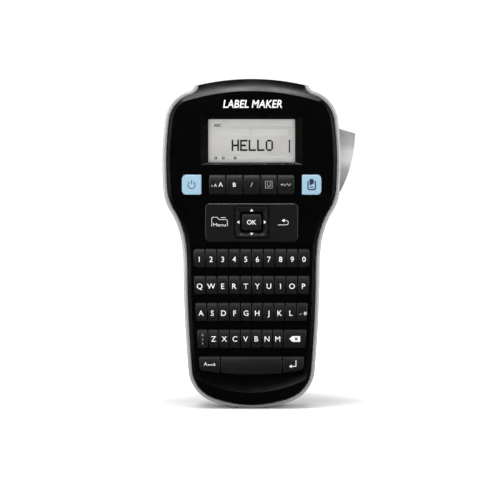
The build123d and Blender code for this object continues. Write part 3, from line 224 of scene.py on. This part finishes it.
WHITE_INK = ink("ink_white", (0.86, 0.86, 0.86), 0.55, 0.03)
PALE_INK = ink("ink_pale", (0.42, 0.42, 0.43), 0.55, 0.03)
GREY_INK = ink("ink_grey", (0.34, 0.34, 0.35), 0.55, 0.03)
VIOLET_INK = ink("ink_violet", (0.055, 0.06, 0.10), 0.5, 0.05)
NAVY_INK = ink("ink_navy", (0.010, 0.032, 0.075), 0.5, 0.05)
DARK_INK = ink("ink_dark", (0.008, 0.008, 0.01), 0.5, 0.05, specular=0.2)


def clear_window():
    """Clear plastic, its gloss a little uneven."""
    material, shader = surface("window_clear", (1, 1, 1), 0.02)
    shader.inputs["Transmission Weight"].default_value = 1.0
    shader.inputs["IOR"].default_value = 1.3
    vary(material, noise(material, 90, 2), 0.01, 0.035, shader.inputs["Roughness"])
    return material


def liquid_crystal():
    """Reflective grey glass with a very fine mesh of cells behind it."""
    material, shader = surface("lcd_glass", (0.60, 0.59, 0.56), 0.3, specular=0.3)
    tint(material, shader, noise(material, 45, 2), (0.68, 0.668, 0.64), (0.75, 0.74, 0.715))
    bump(material, shader, noise(material, 4000, 1), 0.002)
    return material


def cell_sleeve():
    """Battery sleeve: dark body with a copper band at one end of every cell."""
    material, shader = surface("cell_sleeve", (0.02, 0.02, 0.022), 0.28, metallic=0.4)
    low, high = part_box("batteries")
    place = add_node(material, "ShaderNodeTexCoord")
    split = add_node(material, "ShaderNodeSeparateXYZ")
    span = add_node(material, "ShaderNodeMapRange")
    span.inputs["From Min"].default_value = low[2]
    span.inputs["From Max"].default_value = high[2]
    ramp = add_node(material, "ShaderNodeValToRGB")
    ramp.color_ramp.interpolation = "CONSTANT"
    ramp.color_ramp.elements[0].color = (0.02, 0.02, 0.022, 1)
    ramp.color_ramp.elements[1].position = 0.72
    ramp.color_ramp.elements[1].color = (0.55, 0.26, 0.08, 1)
    link = material.node_tree.links.new
    link(place.outputs["Object"], split.inputs["Vector"])
    link(split.outputs["Z"], span.inputs["Value"])
    link(span.outputs["Result"], ramp.inputs["Fac"])
    link(ramp.outputs["Color"], shader.inputs["Base Color"])
    bump(material, shader, noise(material, 900, 2), 0.004)
    return material


def height_from(material, value, *steps):
    """Works a coordinate into a height in millimetres and adds its bow to the shading normal."""
    link = material.node_tree.links.new
    for operation, amount in steps:
        step = add_node(material, "ShaderNodeMath", operation=operation)
        step.inputs[1].default_value = amount
        link(value, step.inputs[0])
        value = step.outputs["Value"]
    bow = add_node(material, "ShaderNodeBump")
    bow.inputs["Distance"].default_value = MM
    link(value, bow.inputs["Height"])
    grain = material.node_tree.nodes["Principled BSDF"].inputs["Normal"].links[0].from_node
    for earlier in grain.inputs["Normal"].links:
        link(earlier.from_socket, bow.inputs["Normal"])
    link(bow.outputs["Normal"], grain.inputs["Normal"])


def crowned_key(name, middle, pitch):
    """Black key plastic whose shading normal bows across each row of keys, like a crowned top."""
    material = moulded(name, (0.0085, 0.0085, 0.0095), 0.42, grain=3200, height=0.005)
    place = add_node(material, "ShaderNodeTexCoord")
    split = add_node(material, "ShaderNodeSeparateXYZ")
    material.node_tree.links.new(place.outputs["Object"], split.inputs["Vector"])
    height_from(
        material, split.outputs["Z"], ("SUBTRACT", middle), ("DIVIDE", pitch), ("ADD", 20.5),
        ("FRACT", 0), ("SUBTRACT", 0.5), ("POWER", 2), ("MULTIPLY", -CROWN),
    )
    return material


def reach_from(material, height):
    """Distance from the line across the shell, front to back, at this height above the floor."""
    place = add_node(material, "ShaderNodeTexCoord")
    flat = add_node(material, "ShaderNodeVectorMath", operation="MULTIPLY")
    flat.inputs[1].default_value = (1, 0, 1)
    reach = add_node(material, "ShaderNodeVectorMath", operation="DISTANCE")
    reach.inputs[1].default_value = (0, 0, height)
    material.node_tree.links.new(place.outputs["Object"], flat.inputs[0])
    material.node_tree.links.new(flat.outputs["Vector"], reach.inputs[0])
    return reach.outputs["Value"]


def black_shell():
    """Satin black: the visor's slope rounds off at the top, and the key dish rises at its low end."""
    material = moulded("shell_black", (0.0008, 0.0007, 0.0008), 0.30, height=0.004, specular=0.30)
    height_from(
        material, reach_from(material, VISOR_CENTRE), ("SUBTRACT", VISOR_START), ("MAXIMUM", 0),
        ("DIVIDE", 8 * MM), ("POWER", 2), ("MULTIPLY", -VISOR_BOW),
    )
    # only below the keys, and only inside the dish's edge
    place = add_node(material, "ShaderNodeTexCoord")
    split = add_node(material, "ShaderNodeSeparateXYZ")
    low = add_node(material, "ShaderNodeMath", operation="LESS_THAN")
    low.inputs[1].default_value = 40 * MM
    inside = add_node(material, "ShaderNodeMath", operation="LESS_THAN")
    inside.inputs[1].default_value = DISH_EDGE
    both = add_node(material, "ShaderNodeMath", operation="MULTIPLY")
    past = add_node(material, "ShaderNodeMath", operation="SUBTRACT")
    past.inputs[1].default_value = DISH_EDGE - DISH_RUN
    kept = add_node(material, "ShaderNodeMath", operation="MULTIPLY")
    reach = reach_from(material, DISH_CENTRE)
    link = material.node_tree.links.new
    link(place.outputs["Object"], split.inputs["Vector"])
    link(split.outputs["Z"], low.inputs[0])
    link(reach, inside.inputs[0])
    link(reach, past.inputs[0])
    link(low.outputs["Value"], both.inputs[0])
    link(inside.outputs["Value"], both.inputs[1])
    link(both.outputs["Value"], kept.inputs[0])
    link(past.outputs["Value"], kept.inputs[1])
    height_from(
        material, kept.outputs["Value"], ("MAXIMUM", 0), ("DIVIDE", DISH_RUN), ("POWER", 2),
        ("MULTIPLY", DISH_RISE),
    )
    return material


# the middle of the highest of the rows this covers, the pitch of the rows, and the crown in millimetres
ROW_MIDDLE, ROW_PITCH, CROWN = 93.55 * MM, 16.65 * MM, 15.0
# the visor's slope starts at this distance round its centre, and rounds off by so many millimetres
VISOR_CENTRE, VISOR_START, VISOR_BOW = 58.7 * MM, 139 * MM, 2.0
# the key dish's low edge is an arc round its centre, and rises by so many millimetres over its last run
DISH_CENTRE, DISH_EDGE, DISH_RUN, DISH_RISE = 82.3 * MM, 72.0 * MM, 14 * MM, 4.5
BLACK = black_shell()
KEY_BLACK = crowned_key("key_black", ROW_MIDDLE, ROW_PITCH)
FUNCTION_BLACK = crowned_key("function_black", front_of("bold_key")[1], ROW_PITCH)
OK_BLACK = crowned_key("ok_black", front_of("ok_key")[1], ROW_PITCH)
WINDOW = clear_window()
LCD = liquid_crystal()
LOOKS = {
    "black_shell": BLACK, "silver_shell": SILVER, "silver_button": BUTTON_SILVER_PAINTED_REFLECTION, "window": WINDOW,
    "lcd": LCD, "rubber_mat": SILICONE, "black_key": KEY_BLACK, "blue_key": BLUE, "circuit_board": BOARD,
    "mechanism_plastic": DARK_PART, "jack_plastic": DARK_PART, "motor_steel": CAN, "head_metal": ALLOY,
    "cassette_plastic": GREY_PART, "label_tape": TAPE, "ribbon_film": FILM, "cell_sleeve": cell_sleeve(),
    "spring_steel": STEEL, "screw_steel": BLACK_STEEL, "blade_steel": ALLOY, "gear_brass": BRASS,
    "gear_plastic": ACETAL, "platen_rubber": RUBBER, "foot_rubber": RUBBER,
}
BY_NODE = {
    "menu_back_plate": NAV_BLACK, "arrow_ring": NAV_BLACK, "ok_key": OK_BLACK, "size_key": FUNCTION_BLACK,
    "bold_key": FUNCTION_BLACK, "italic_key": FUNCTION_BLACK, "frame_key": FUNCTION_BLACK,
    "style_key": FUNCTION_BLACK,
}


def dress_nodes():
    """Gives every CAD node its procedural material."""
    for part in frame["record"]["subparts"]:
        node = NODES[part["node"]]
        look = BY_NODE.get(part["node"], LOOKS[part["material_slot"]])
        if not node.material_slots:
            node.data.materials.append(look)
        for place in node.material_slots:
            place.material = look
        if part["material_slot"] in ("black_key", "blue_key", "silver_button"):
            soften_edges(node)


def soften_edges(node):
    """Rounds a moulded cap's sharp edges a little, so that they catch the light."""
    bevel = node.modifiers.new("soft_edges", "BEVEL")
    bevel.width = 0.35 * MM
    bevel.segments = 2
    bevel.limit_method = "ANGLE"
    bevel.angle_limit = math.radians(50)


def dished_ring():
    """The arrow ring's visible form: a square frame whose top slopes down towards the OK key."""
    low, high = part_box("arrow_ring")
    ok_low, ok_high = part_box("ok_key")
    x, z = (low[0] + high[0]) / 2, (low[2] + high[2]) / 2
    half_x, half_z = (high[0] - low[0]) / 2, (high[2] - low[2]) / 2
    hole_x, hole_z = (ok_high[0] - ok_low[0]) / 2 + 0.3 * MM, (ok_high[2] - ok_low[2]) / 2 + 0.3 * MM
    front, back = low[1], low[1] + 1.6 * MM
    rings = (
        (half_x, half_z, 2.0 * MM, back), (half_x, half_z, 2.0 * MM, front + 0.3 * MM),
        (half_x - 0.1 * MM, half_z - 0.1 * MM, 1.9 * MM, front + 0.08 * MM),
        (half_x - 0.3 * MM, half_z - 0.3 * MM, 1.8 * MM, front),
        (half_x - 1.1 * MM, half_z - 1.1 * MM, 1.3 * MM, front),
        (half_x - 1.3 * MM, half_z - 1.3 * MM, 1.2 * MM, front + 0.06 * MM),
        (hole_x + 0.4 * MM, hole_z + 0.4 * MM, 1.0 * MM, front + RING_DROP),
        (hole_x, hole_z, 0.9 * MM, front + RING_DROP + 0.1 * MM), (hole_x, hole_z, 0.9 * MM, back),
    )
    mesh = bmesh.new()
    loops = []
    for wide, tall, radius, depth in rings:
        loop = []
        for corner, (side_x, side_z) in enumerate(((1, 1), (-1, 1), (-1, -1), (1, -1))):
            for step in range(7):
                turn = math.radians(90 * corner + 15 * step)
                loop.append(mesh.verts.new((
                    x + side_x * (wide - radius) + radius * math.cos(turn), depth,
                    z + side_z * (tall - radius) + radius * math.sin(turn),
                )))
        loops.append(loop)
    loops.append(loops[0])
    for one, two in zip(loops, loops[1:]):
        for index in range(len(one)):
            after = (index + 1) % len(one)
            mesh.faces.new((one[index], one[after], two[after], two[index]))
    bmesh.ops.recalc_face_normals(mesh, faces=mesh.faces)
    data = bpy.data.meshes.new("dished_ring")
    mesh.to_mesh(data)
    mesh.free()
    data.materials.append(NAV_BLACK)
    piece = bpy.data.objects.new("dished_ring", data)
    bpy.context.scene.collection.objects.link(piece)
    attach(piece, "arrow_ring")
    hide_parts("arrow_ring")


# ---- printed marks --------------------------------------------------------------------------------
class Marks:
    """Collects flat printed shapes lying in one plane that faces the user, and makes them one piece."""

    def __init__(self, plane_y):
        self.mesh = bmesh.new()
        self.y = plane_y - LIFT

    def fill(self, points):
        """A filled polygon from points (x, z) in metres."""
        corners = [self.mesh.verts.new((x, self.y, z)) for x, z in points]
        self.mesh.faces.new(corners)

    def box(self, x, z, width, height):
        self.fill([
            (x - width / 2, z - height / 2), (x + width / 2, z - height / 2),
            (x + width / 2, z + height / 2), (x - width / 2, z + height / 2),
        ])

    def stroke(self, points, width, closed=False):
        """A line of even width through points, with mitred joints."""
        flat = [Vector(point) for point in points]
        count = len(flat)
        sides = []
        for index, here in enumerate(flat):
            before = flat[index - 1] if index or closed else None
            after = flat[(index + 1) % count] if index < count - 1 or closed else None
            one = (here - before).normalized() if before else (after - here).normalized()
            two = (after - here).normalized() if after else one
            middle = (one + two).normalized()
            normal = Vector((-middle.y, middle.x))
            reach = width / 2 / max(0.35, normal.dot(Vector((-one.y, one.x))))
            sides.append((here + normal * reach, here - normal * reach))
        for index in range(count if closed else count - 1):
            left, right = sides[index]
            next_left, next_right = sides[(index + 1) % count]
            self.fill([left, right, next_right, next_left])

    def arc(self, x, z, radius, start, end, width, steps=16):
        turns = [math.radians(start + (end - start) * step / steps) for step in range(steps + 1)]
        self.stroke([(x + radius * math.cos(turn), z + radius * math.sin(turn)) for turn in turns], width)

    def text(self, words, x, z, cap, weight=0.02, width=None, lean=0.0):
        """Lettering centred on x and z with capitals of the height given."""
        curve = bpy.data.curves.new("lettering", "FONT")
        curve.body = words
        curve.size = cap / 0.73
        curve.offset = weight * curve.size
        curve.shear = lean
        curve.resolution_u = 4
        holder = bpy.data.objects.new("lettering", curve)
        bpy.context.scene.collection.objects.link(holder)
        graph = bpy.context.evaluated_depsgraph_get()
        letters = bpy.data.meshes.new_from_object(holder.evaluated_get(graph))
        across = [vertex.co.x for vertex in letters.vertices]
        middle = (min(across) + max(across)) / 2
        squeeze = width / (max(across) - min(across)) if width else 1.0
        for vertex in letters.vertices:
            vertex.co = (x + (vertex.co.x - middle) * squeeze, self.y, z - cap / 2 + vertex.co.y)
        self.mesh.from_mesh(letters)
        bpy.data.objects.remove(holder)
        bpy.data.curves.remove(curve)
        bpy.data.meshes.remove(letters)

    def done(self, name, body, look):
        """Thickens the shapes towards the user and hands them over as one piece."""
        bmesh.ops.recalc_face_normals(self.mesh, faces=self.mesh.faces)
        for face in self.mesh.faces:
            if face.normal.y > 0:
                face.normal_flip()
        data = bpy.data.meshes.new(name)
        self.mesh.to_mesh(data)
        self.mesh.free()
        data.materials.append(look)
        piece = bpy.data.objects.new(name, data)
        bpy.context.scene.collection.objects.link(piece)
        thick = piece.modifiers.new("thick", "SOLIDIFY")
        thick.thickness = INK
        thick.offset = 1
        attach(piece, body)
        return piece


def legend_keys():
    """Digits and letters, centred on the cap they are printed on."""
    for digit in range(10):
        node = f"key_{digit}"
        x, z, y = front_of(node)
        marks = Marks(y)
        marks.text(str(digit), x, z - 0.6 * MM, CAP, 0.002)
        marks.done(f"legend_{digit}", node, WHITE_INK)
    for node, words, shift in (
        ("keys_upper_row", "QWERTYUIOP", -0.6), ("keys_home_row", "ASDFGHJKL", -0.6),
        ("keys_lower_row", "ZXCVBNM", 0.1),
    ):
        low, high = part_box(node)
        places = 7 if len(words) == 7 else 10
        pitch = (high[0] - low[0]) / places
        marks = Marks(low[1])
        middle = (low[2] + high[2]) / 2 + shift * MM
        for index, letter in enumerate(words):
            marks.text(letter, low[0] + pitch * (index + 0.5), middle, CAP, 0.004)
        if words.startswith("A"):
            last = low[0] + pitch * 9.5
            marks.text(".,-", last - 1.0 * MM, middle - 0.2 * MM, 1.5 * MM, 0.0)
            marks.text("#", last + 1.9 * MM, middle, 2.2 * MM, 0.01)
        marks.done(f"legend_{node}", node, WHITE_INK)


def legend_specials():
    """Accent, backspace, capitals and enter keys."""
    x, z, y = front_of("accent_key")
    marks = Marks(y)
    for step, words in ((1, "Á"), (0, "ä"), (-1, "â")):
        marks.text(words, x, z + step * 2.5 * MM, 1.6 * MM, 0.0)
    marks.done("legend_accent", "accent_key", GREY_INK)

    x, z, y = front_of("backspace_key")
    marks = Marks(y)
    half, tall = 3.3 * MM, 1.75 * MM
    marks.fill([
        (x - half, z), (x - half + 1.8 * MM, z - tall), (x + half, z - tall), (x + half, z + tall),
        (x - half + 1.8 * MM, z + tall),
    ])
    marks.done("legend_backspace", "backspace_key", WHITE_INK)
    marks = Marks(y - INK - LIFT)
    cross, reach = x + 0.9 * MM, 0.85 * MM
    marks.stroke([(cross - reach, z - reach), (cross + reach, z + reach)], 0.6 * MM)
    marks.stroke([(cross - reach, z + reach), (cross + reach, z - reach)], 0.6 * MM)
    marks.done("legend_backspace_cross", "backspace_key", DARK_INK)

    x, z, y = front_of("capitals_key")
    marks = Marks(y)
    marks.text("A", x - 2.6 * MM, z + 0.6 * MM, 2.2 * MM, 0.008)
    marks.text("a", x + 2.9 * MM, z + 0.6 * MM, 2.2 * MM, 0.008)
    marks.stroke([(x - 0.9 * MM, z), (x + 1.4 * MM, z)], 0.35 * MM)
    for side in (-1, 1):
        tip = x + 0.25 * MM + side * 1.7 * MM
        tail = tip - side * 0.8 * MM
        marks.fill([(tip, z), (tail, z + 0.6 * MM), (tail, z - 0.6 * MM)])
    marks.done("legend_capitals", "capitals_key", WHITE_INK)

    x, z, y = front_of("enter_key")
    marks = Marks(y)
    right, top, line = x + 1.6 * MM, z + 2.8 * MM, z - 0.9 * MM
    marks.stroke([(right, top), (right, line), (x - 1.2 * MM, line)], 0.45 * MM)
    marks.fill([(x - 2.6 * MM, line), (x - 1.0 * MM, line + 1.1 * MM), (x - 1.0 * MM, line - 1.1 * MM)])
    marks.done("legend_enter", "enter_key", WHITE_INK)


def legend_functions():
    """Icons of the row of dark function keys."""
    x, z, y = front_of("size_key")
    marks = Marks(y)
    base = z - 1.3 * MM
    for offset, cap in ((-3.2, 1.1), (-1.1, 2.0), (2.1, 3.0)):
        marks.text("A", x + offset * MM, base + cap / 2 * MM, cap * MM, -0.006)
    marks.done("icon_size", "size_key", WHITE_INK)

    x, z, y = front_of("bold_key")
    marks = Marks(y)
    marks.text("B", x, z, 2.6 * MM, 0.012)
    marks.done("icon_bold", "bold_key", WHITE_INK)

    x, z, y = front_of("italic_key")
    marks = Marks(y)
    marks.stroke([(x - 0.5 * MM, z - 1.3 * MM), (x + 0.5 * MM, z + 1.3 * MM)], 0.38 * MM)
    marks.done("icon_italic", "italic_key", PALE_INK)

    x, z, y = front_of("frame_key")
    marks = Marks(y)
    half = 2.1 * MM
    corners = [(x - half, z - half), (x + half, z - half), (x + half, z + half), (x - half, z + half)]
    marks.stroke(corners, 0.22 * MM, True)
    for side in (-1, 1):
        leg = x + side * 0.9 * MM
        marks.stroke([(leg, z + 1.4 * MM), (leg, z - 0.3 * MM)], 0.28 * MM)
    marks.arc(x, z - 0.3 * MM, 0.9 * MM, 180, 360, 0.28 * MM)
    marks.done("icon_frame", "frame_key", PALE_INK)

    x, z, y = front_of("style_key")
    marks = Marks(y)
    wave = [(x + step * 0.25 * MM, z + 0.6 * MM * math.sin(step * 0.62)) for step in range(-7, 14)]
    marks.stroke(wave, 0.3 * MM)
    marks.fill([(x - 3.4 * MM, z), (x - 2.1 * MM, z + 0.6 * MM), (x - 2.1 * MM, z - 0.6 * MM)])
    marks.done("icon_style", "style_key", PALE_INK)


def legend_blue():
    """Icons of the power and print keys."""
    x, z, y = front_of("power_key")
    marks = Marks(y)
    marks.arc(x, z - 0.3 * MM, 2.2 * MM, 122, 418, 0.5 * MM, 28)
    marks.stroke([(x, z + 0.2 * MM), (x, z + 2.7 * MM)], 0.5 * MM)
    marks.done("icon_power", "power_key", VIOLET_INK)

    x, z, y = front_of("print_key")
    marks = Marks(y)
    half, top, low = 2.3 * MM, z + 2.3 * MM, z - 3.1 * MM
    marks.stroke([
        (x - 1.9 * MM, top), (x - half, top - 0.9 * MM), (x - half, low + 0.7 * MM),
        (x - half + 0.7 * MM, low), (x + half - 0.7 * MM, low), (x + half, low + 0.7 * MM),
        (x + half, top - 0.9 * MM), (x + 1.9 * MM, top),
    ], 0.75 * MM)
    marks.fill([
        (x - 1.3 * MM, z - 0.5 * MM), (x + 1.3 * MM, z + 0.7 * MM), (x + 1.3 * MM, z + 2.6 * MM),
        (x + 0.6 * MM, z + 3.5 * MM), (x - 1.3 * MM, z + 3.5 * MM),
    ])
    marks.box(x, z - 1.6 * MM, 1.7 * MM, 0.7 * MM)
    marks.done("icon_print", "print_key", NAVY_INK)


def legend_nav():
    """Arrows, OK, and the menu and back icons."""
    x, z, y = front_of("arrow_ring")
    low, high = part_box("arrow_ring")
    marks = Marks(y)
    reach_x, reach_z = (high[0] - low[0]) / 2 - 2.0 * MM, (high[2] - low[2]) / 2 - 2.1 * MM
    size, wide = 0.75 * MM, 1.05 * MM
    for side in (-1, 1):
        tip = x + side * (reach_x + size)
        marks.fill([(tip, z), (tip - side * 2 * size, z + wide), (tip - side * 2 * size, z - wide)])
        tip = z + side * (reach_z + size)
        marks.fill([(x, tip), (x + wide, tip - side * 2 * size), (x - wide, tip - side * 2 * size)])
    run = min((high[0] - low[0]) / 2, (high[2] - low[2]) / 2) - RING_RIM
    ok_low, ok_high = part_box("ok_key")
    length = run - (ok_high[2] - ok_low[2]) / 2 - 0.6 * MM
    for vertex in marks.mesh.verts:
        inward_x = (high[0] - low[0]) / 2 - RING_RIM - abs(vertex.co.x - x)
        inward_z = (high[2] - low[2]) / 2 - RING_RIM - abs(vertex.co.z - z)
        vertex.co.y += RING_DROP * min(1, max(0, min(inward_x, inward_z) / length)) - 0.1 * MM
    marks.done("icon_arrows", "arrow_ring", WHITE_INK)

    x, z, y = front_of("ok_key")
    marks = Marks(y)
    marks.text("OK", x, z, 2.9 * MM, 0.006)
    marks.done("icon_ok", "ok_key", WHITE_INK)

    x, z, y = front_of("menu_back_plate")
    marks = Marks(y)
    left, right, low, top = x - 24.6 * MM, x - 15.0 * MM, z - 2.2 * MM, z + 3.4 * MM
    marks.stroke([
        (left, low), (left, top - 0.5 * MM), (left + 0.5 * MM, top), (left + 3.4 * MM, top),
        (left + 4.4 * MM, top - 1.4 * MM), (right - 0.5 * MM, top - 1.4 * MM),
        (right, top - 1.9 * MM), (right, low),
    ], 0.25 * MM)
    marks.stroke([(left + 5.4 * MM, top - 0.2 * MM), (left + 8.6 * MM, top - 0.2 * MM)], 0.25 * MM)
    marks.text("Menu", (left + right) / 2, low + 1.0 * MM, 2.1 * MM, -0.008, width=7.6 * MM)
    base, rise = z - 1.3 * MM, 1.35 * MM
    marks.stroke([(x + 16.2 * MM, base), (x + 21.3 * MM, base)], 0.28 * MM)
    marks.arc(x + 21.3 * MM, base + rise, rise, -90, 90, 0.28 * MM)
    marks.stroke([(x + 21.3 * MM, base + 2 * rise), (x + 20.2 * MM, base + 2 * rise)], 0.28 * MM)
    tip = base + 2 * rise
    marks.fill([(x + 18.5 * MM, tip), (x + 20.4 * MM, tip + 1.05 * MM), (x + 20.4 * MM, tip - 1.05 * MM)])
    marks.done("icon_menu_back", "menu_back_plate", WHITE_INK)


# ---- display --------------------------------------------------------------------------------------
GLYPHS = {
    "H": ["#...#", "#...#", "#...#", "#####", "#...#", "#...#", "#...#"],
    "E": ["#####", "#....", "#....", "####.", "#....", "#....", "#####"],
    "L": ["#....", "#....", "#....", "#....", "#....", "#....", "#####"],
    "O": [".###.", "#...#", "#...#", "#...#", "#...#", "#...#", ".###."],
}


def display_content():
    """Dot letters, small marks and pale fields on the display."""
    low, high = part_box("lcd_panel")
    x, z = (low[0] + high[0]) / 2, (low[2] + high[2]) / 2
    y = low[1] + 0.3 * MM
    half_x, half_z = 26.2 * MM, 12.9 * MM
    marks = Marks(y)
    dot, pitch = 1.05 * MM, 0.88 * MM
    start = x - 11.9 * MM
    for index, letter in enumerate("HELLO"):
        for row, cells in enumerate(GLYPHS[letter]):
            for column, cell in enumerate(cells):
                if cell == "#":
                    across = start + (index * 6 + column) * pitch
                    marks.box(across, z + (0.2 - row * 0.97) * MM, dot, dot * 1.1)
    marks.text("ABC", x - half_x + 5.0 * MM, z + half_z - 3.1 * MM, 1.7 * MM, 0.03)
    marks.box(x + half_x - 2.7 * MM, z - 3.2 * MM, 0.85 * MM, 8.0 * MM)
    base = z - half_z + 1.9 * MM
    for offset in (0.0, 4.6, 12.0):
        left = x - half_x + (4.0 + offset) * MM
        marks.box(left, base, 1.7 * MM, 0.5 * MM)
        marks.box(left - 0.5 * MM, base + 0.9 * MM, 0.5 * MM, 1.5 * MM)
        marks.box(left + 0.5 * MM, base + 0.8 * MM, 0.5 * MM, 1.1 * MM)
    marks.done("lcd_segments", "housing", DARK_INK)

    pale = Marks(y + 0.012 * MM)
    for left, right in ((-24.0, -1.4), (-0.2, 22.6)):
        pale.box(x + (left + right) / 2 * MM, z + 5.4 * MM, (right - left) * MM, 4.0 * MM)
    pale.box(x, z + 11.0 * MM, 51.6 * MM, 3.4 * MM)
    pale.box(x, z - 11.0 * MM, 51.6 * MM, 3.2 * MM)
    band = moulded("lcd_band", (0.77, 0.765, 0.745), 0.35, height=0.002, shift=0.02)
    pale.done("lcd_bands", "housing", band)


def lettering_on_visor():
    """Generic words above the display."""
    low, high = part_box("front_cover")
    marks = Marks(low[1] if low[1] > -0.0141 else -0.014)
    marks.text("LABEL MAKER", 0.6 * MM, high[2] - 15.8 * MM, 5.0 * MM, 0.016, width=36.5 * MM, lean=0.18)
    marks.done("visor_words", "housing", WHITE_INK)


# ---- scene ----------------------------------------------------------------------------------------
def light(name, place, target, size, power):
    """A soft white rectangle of light facing its target."""
    data = bpy.data.lights.new(name, "AREA")
    data.shape = "RECTANGLE"
    data.size, data.size_y = size
    data.energy = power
    lamp = bpy.data.objects.new(name, data)
    bpy.context.scene.collection.objects.link(lamp)
    lamp.location = place
    lamp.rotation_euler = (Vector(target) - Vector(place)).to_track_quat("-Z", "Y").to_euler()
    return lamp


def glowing_dome(name, radius, strength):
    """An evenly lit sphere round the scene."""
    glow = bpy.data.materials.new(name)
    glow.use_nodes = True
    glow.node_tree.nodes.clear()
    emission = add_node(glow, "ShaderNodeEmission")
    emission.inputs["Strength"].default_value = strength
    output = add_node(glow, "ShaderNodeOutputMaterial")
    glow.node_tree.links.new(emission.outputs["Emission"], output.inputs["Surface"])
    bpy.ops.mesh.primitive_uv_sphere_add(radius=radius, segments=48, ring_count=24)
    dome = bpy.context.object
    dome.name = name
    dome.data.materials.append(glow)
    return dome


def studio():
    """Floor, surroundings, lights and camera."""
    scene = bpy.context.scene
    world = bpy.data.worlds.new("world")
    scene.world = world
    world.use_nodes = True
    world.node_tree.nodes["Background"].inputs["Color"].default_value = (1, 1, 1, 1)
    world.node_tree.nodes["Background"].inputs["Strength"].default_value = 0.60
    scene.view_settings.view_transform = "Standard"

    floor_look, shader = surface("floor", (0.93, 0.93, 0.93), 0.9, specular=0.1)
    tint(floor_look, shader, noise(floor_look, 3, 2), (0.925, 0.925, 0.925), (0.935, 0.935, 0.935))
    # painted light and shade: the floor glows by its distance from the origin, faintly within 50 mm and
    # rising to full by 130 mm, so the ground round the object is painted darker and the far floor painted
    # white
    shader.inputs["Emission Color"].default_value = (1, 1, 1, 1)
    place = add_node(floor_look, "ShaderNodeTexCoord")
    away = add_node(floor_look, "ShaderNodeVectorMath", operation="LENGTH")
    glow = add_node(floor_look, "ShaderNodeMapRange", interpolation_type="SMOOTHSTEP")
    for socket, value in (("From Min", 0.05), ("From Max", 0.13), ("To Min", 0.02), ("To Max", 0.6)):
        glow.inputs[socket].default_value = value
    floor_look.node_tree.links.new(place.outputs["Object"], away.inputs[0])
    floor_look.node_tree.links.new(away.outputs["Value"], glow.inputs["Value"])
    floor_look.node_tree.links.new(glow.outputs["Result"], shader.inputs["Emission Strength"])
    bpy.ops.mesh.primitive_plane_add(size=12)
    floor = bpy.context.object
    floor.name = "floor"
    floor.data.materials.append(floor_look)
    floor.visible_glossy = False

    # a white dome that only the camera sees, and a dim one that only reflections see
    for name, radius, strength, seen in (("backdrop", 5.6, 1.05, True), ("dim_room", 5.2, 0.03, False)):
        dome = glowing_dome(name, radius, strength)
        dome.visible_camera = seen
        dome.visible_glossy = not seen
        dome.visible_diffuse = False
        dome.visible_shadow = False
        dome.visible_transmission = False

    middle = (0, 0, 0.11)
    light("overhead", (0.0, -0.16, 0.95), middle, (0.5, 0.15), 4)
    light("top_left", (-0.34, -0.30, 0.85), middle, (0.3, 0.2), 2)
    light("left_soft", (-0.98, -0.22, 0.35), middle, (0.12, 0.9), 3)
    light("right_soft", (0.98, -0.22, 0.35), middle, (0.12, 0.9), 3)

    camera_data = bpy.data.cameras.new("camera")
    camera_data.lens = 100
    camera_data.sensor_width = 36
    camera = bpy.data.objects.new("camera", camera_data)
    scene.collection.objects.link(camera)
    view_width = 0.3085  # metres across the picture at the front face
    face_y = CAD_BOX[0][1]
    distance = view_width * camera_data.lens / camera_data.sensor_width
    aim = Vector((-0.001, face_y, 0.0986))
    lift = math.radians(1.0)
    camera.location = aim + Vector((0, -math.cos(lift), math.sin(lift))) * distance
    camera.rotation_euler = (aim - camera.location).to_track_quat("-Z", "Y").to_euler()
    scene.camera = camera


dress_nodes()
dished_ring()
legend_keys()
legend_specials()
legend_functions()
legend_blue()
legend_nav()
display_content()
lettering_on_visor()
studio()
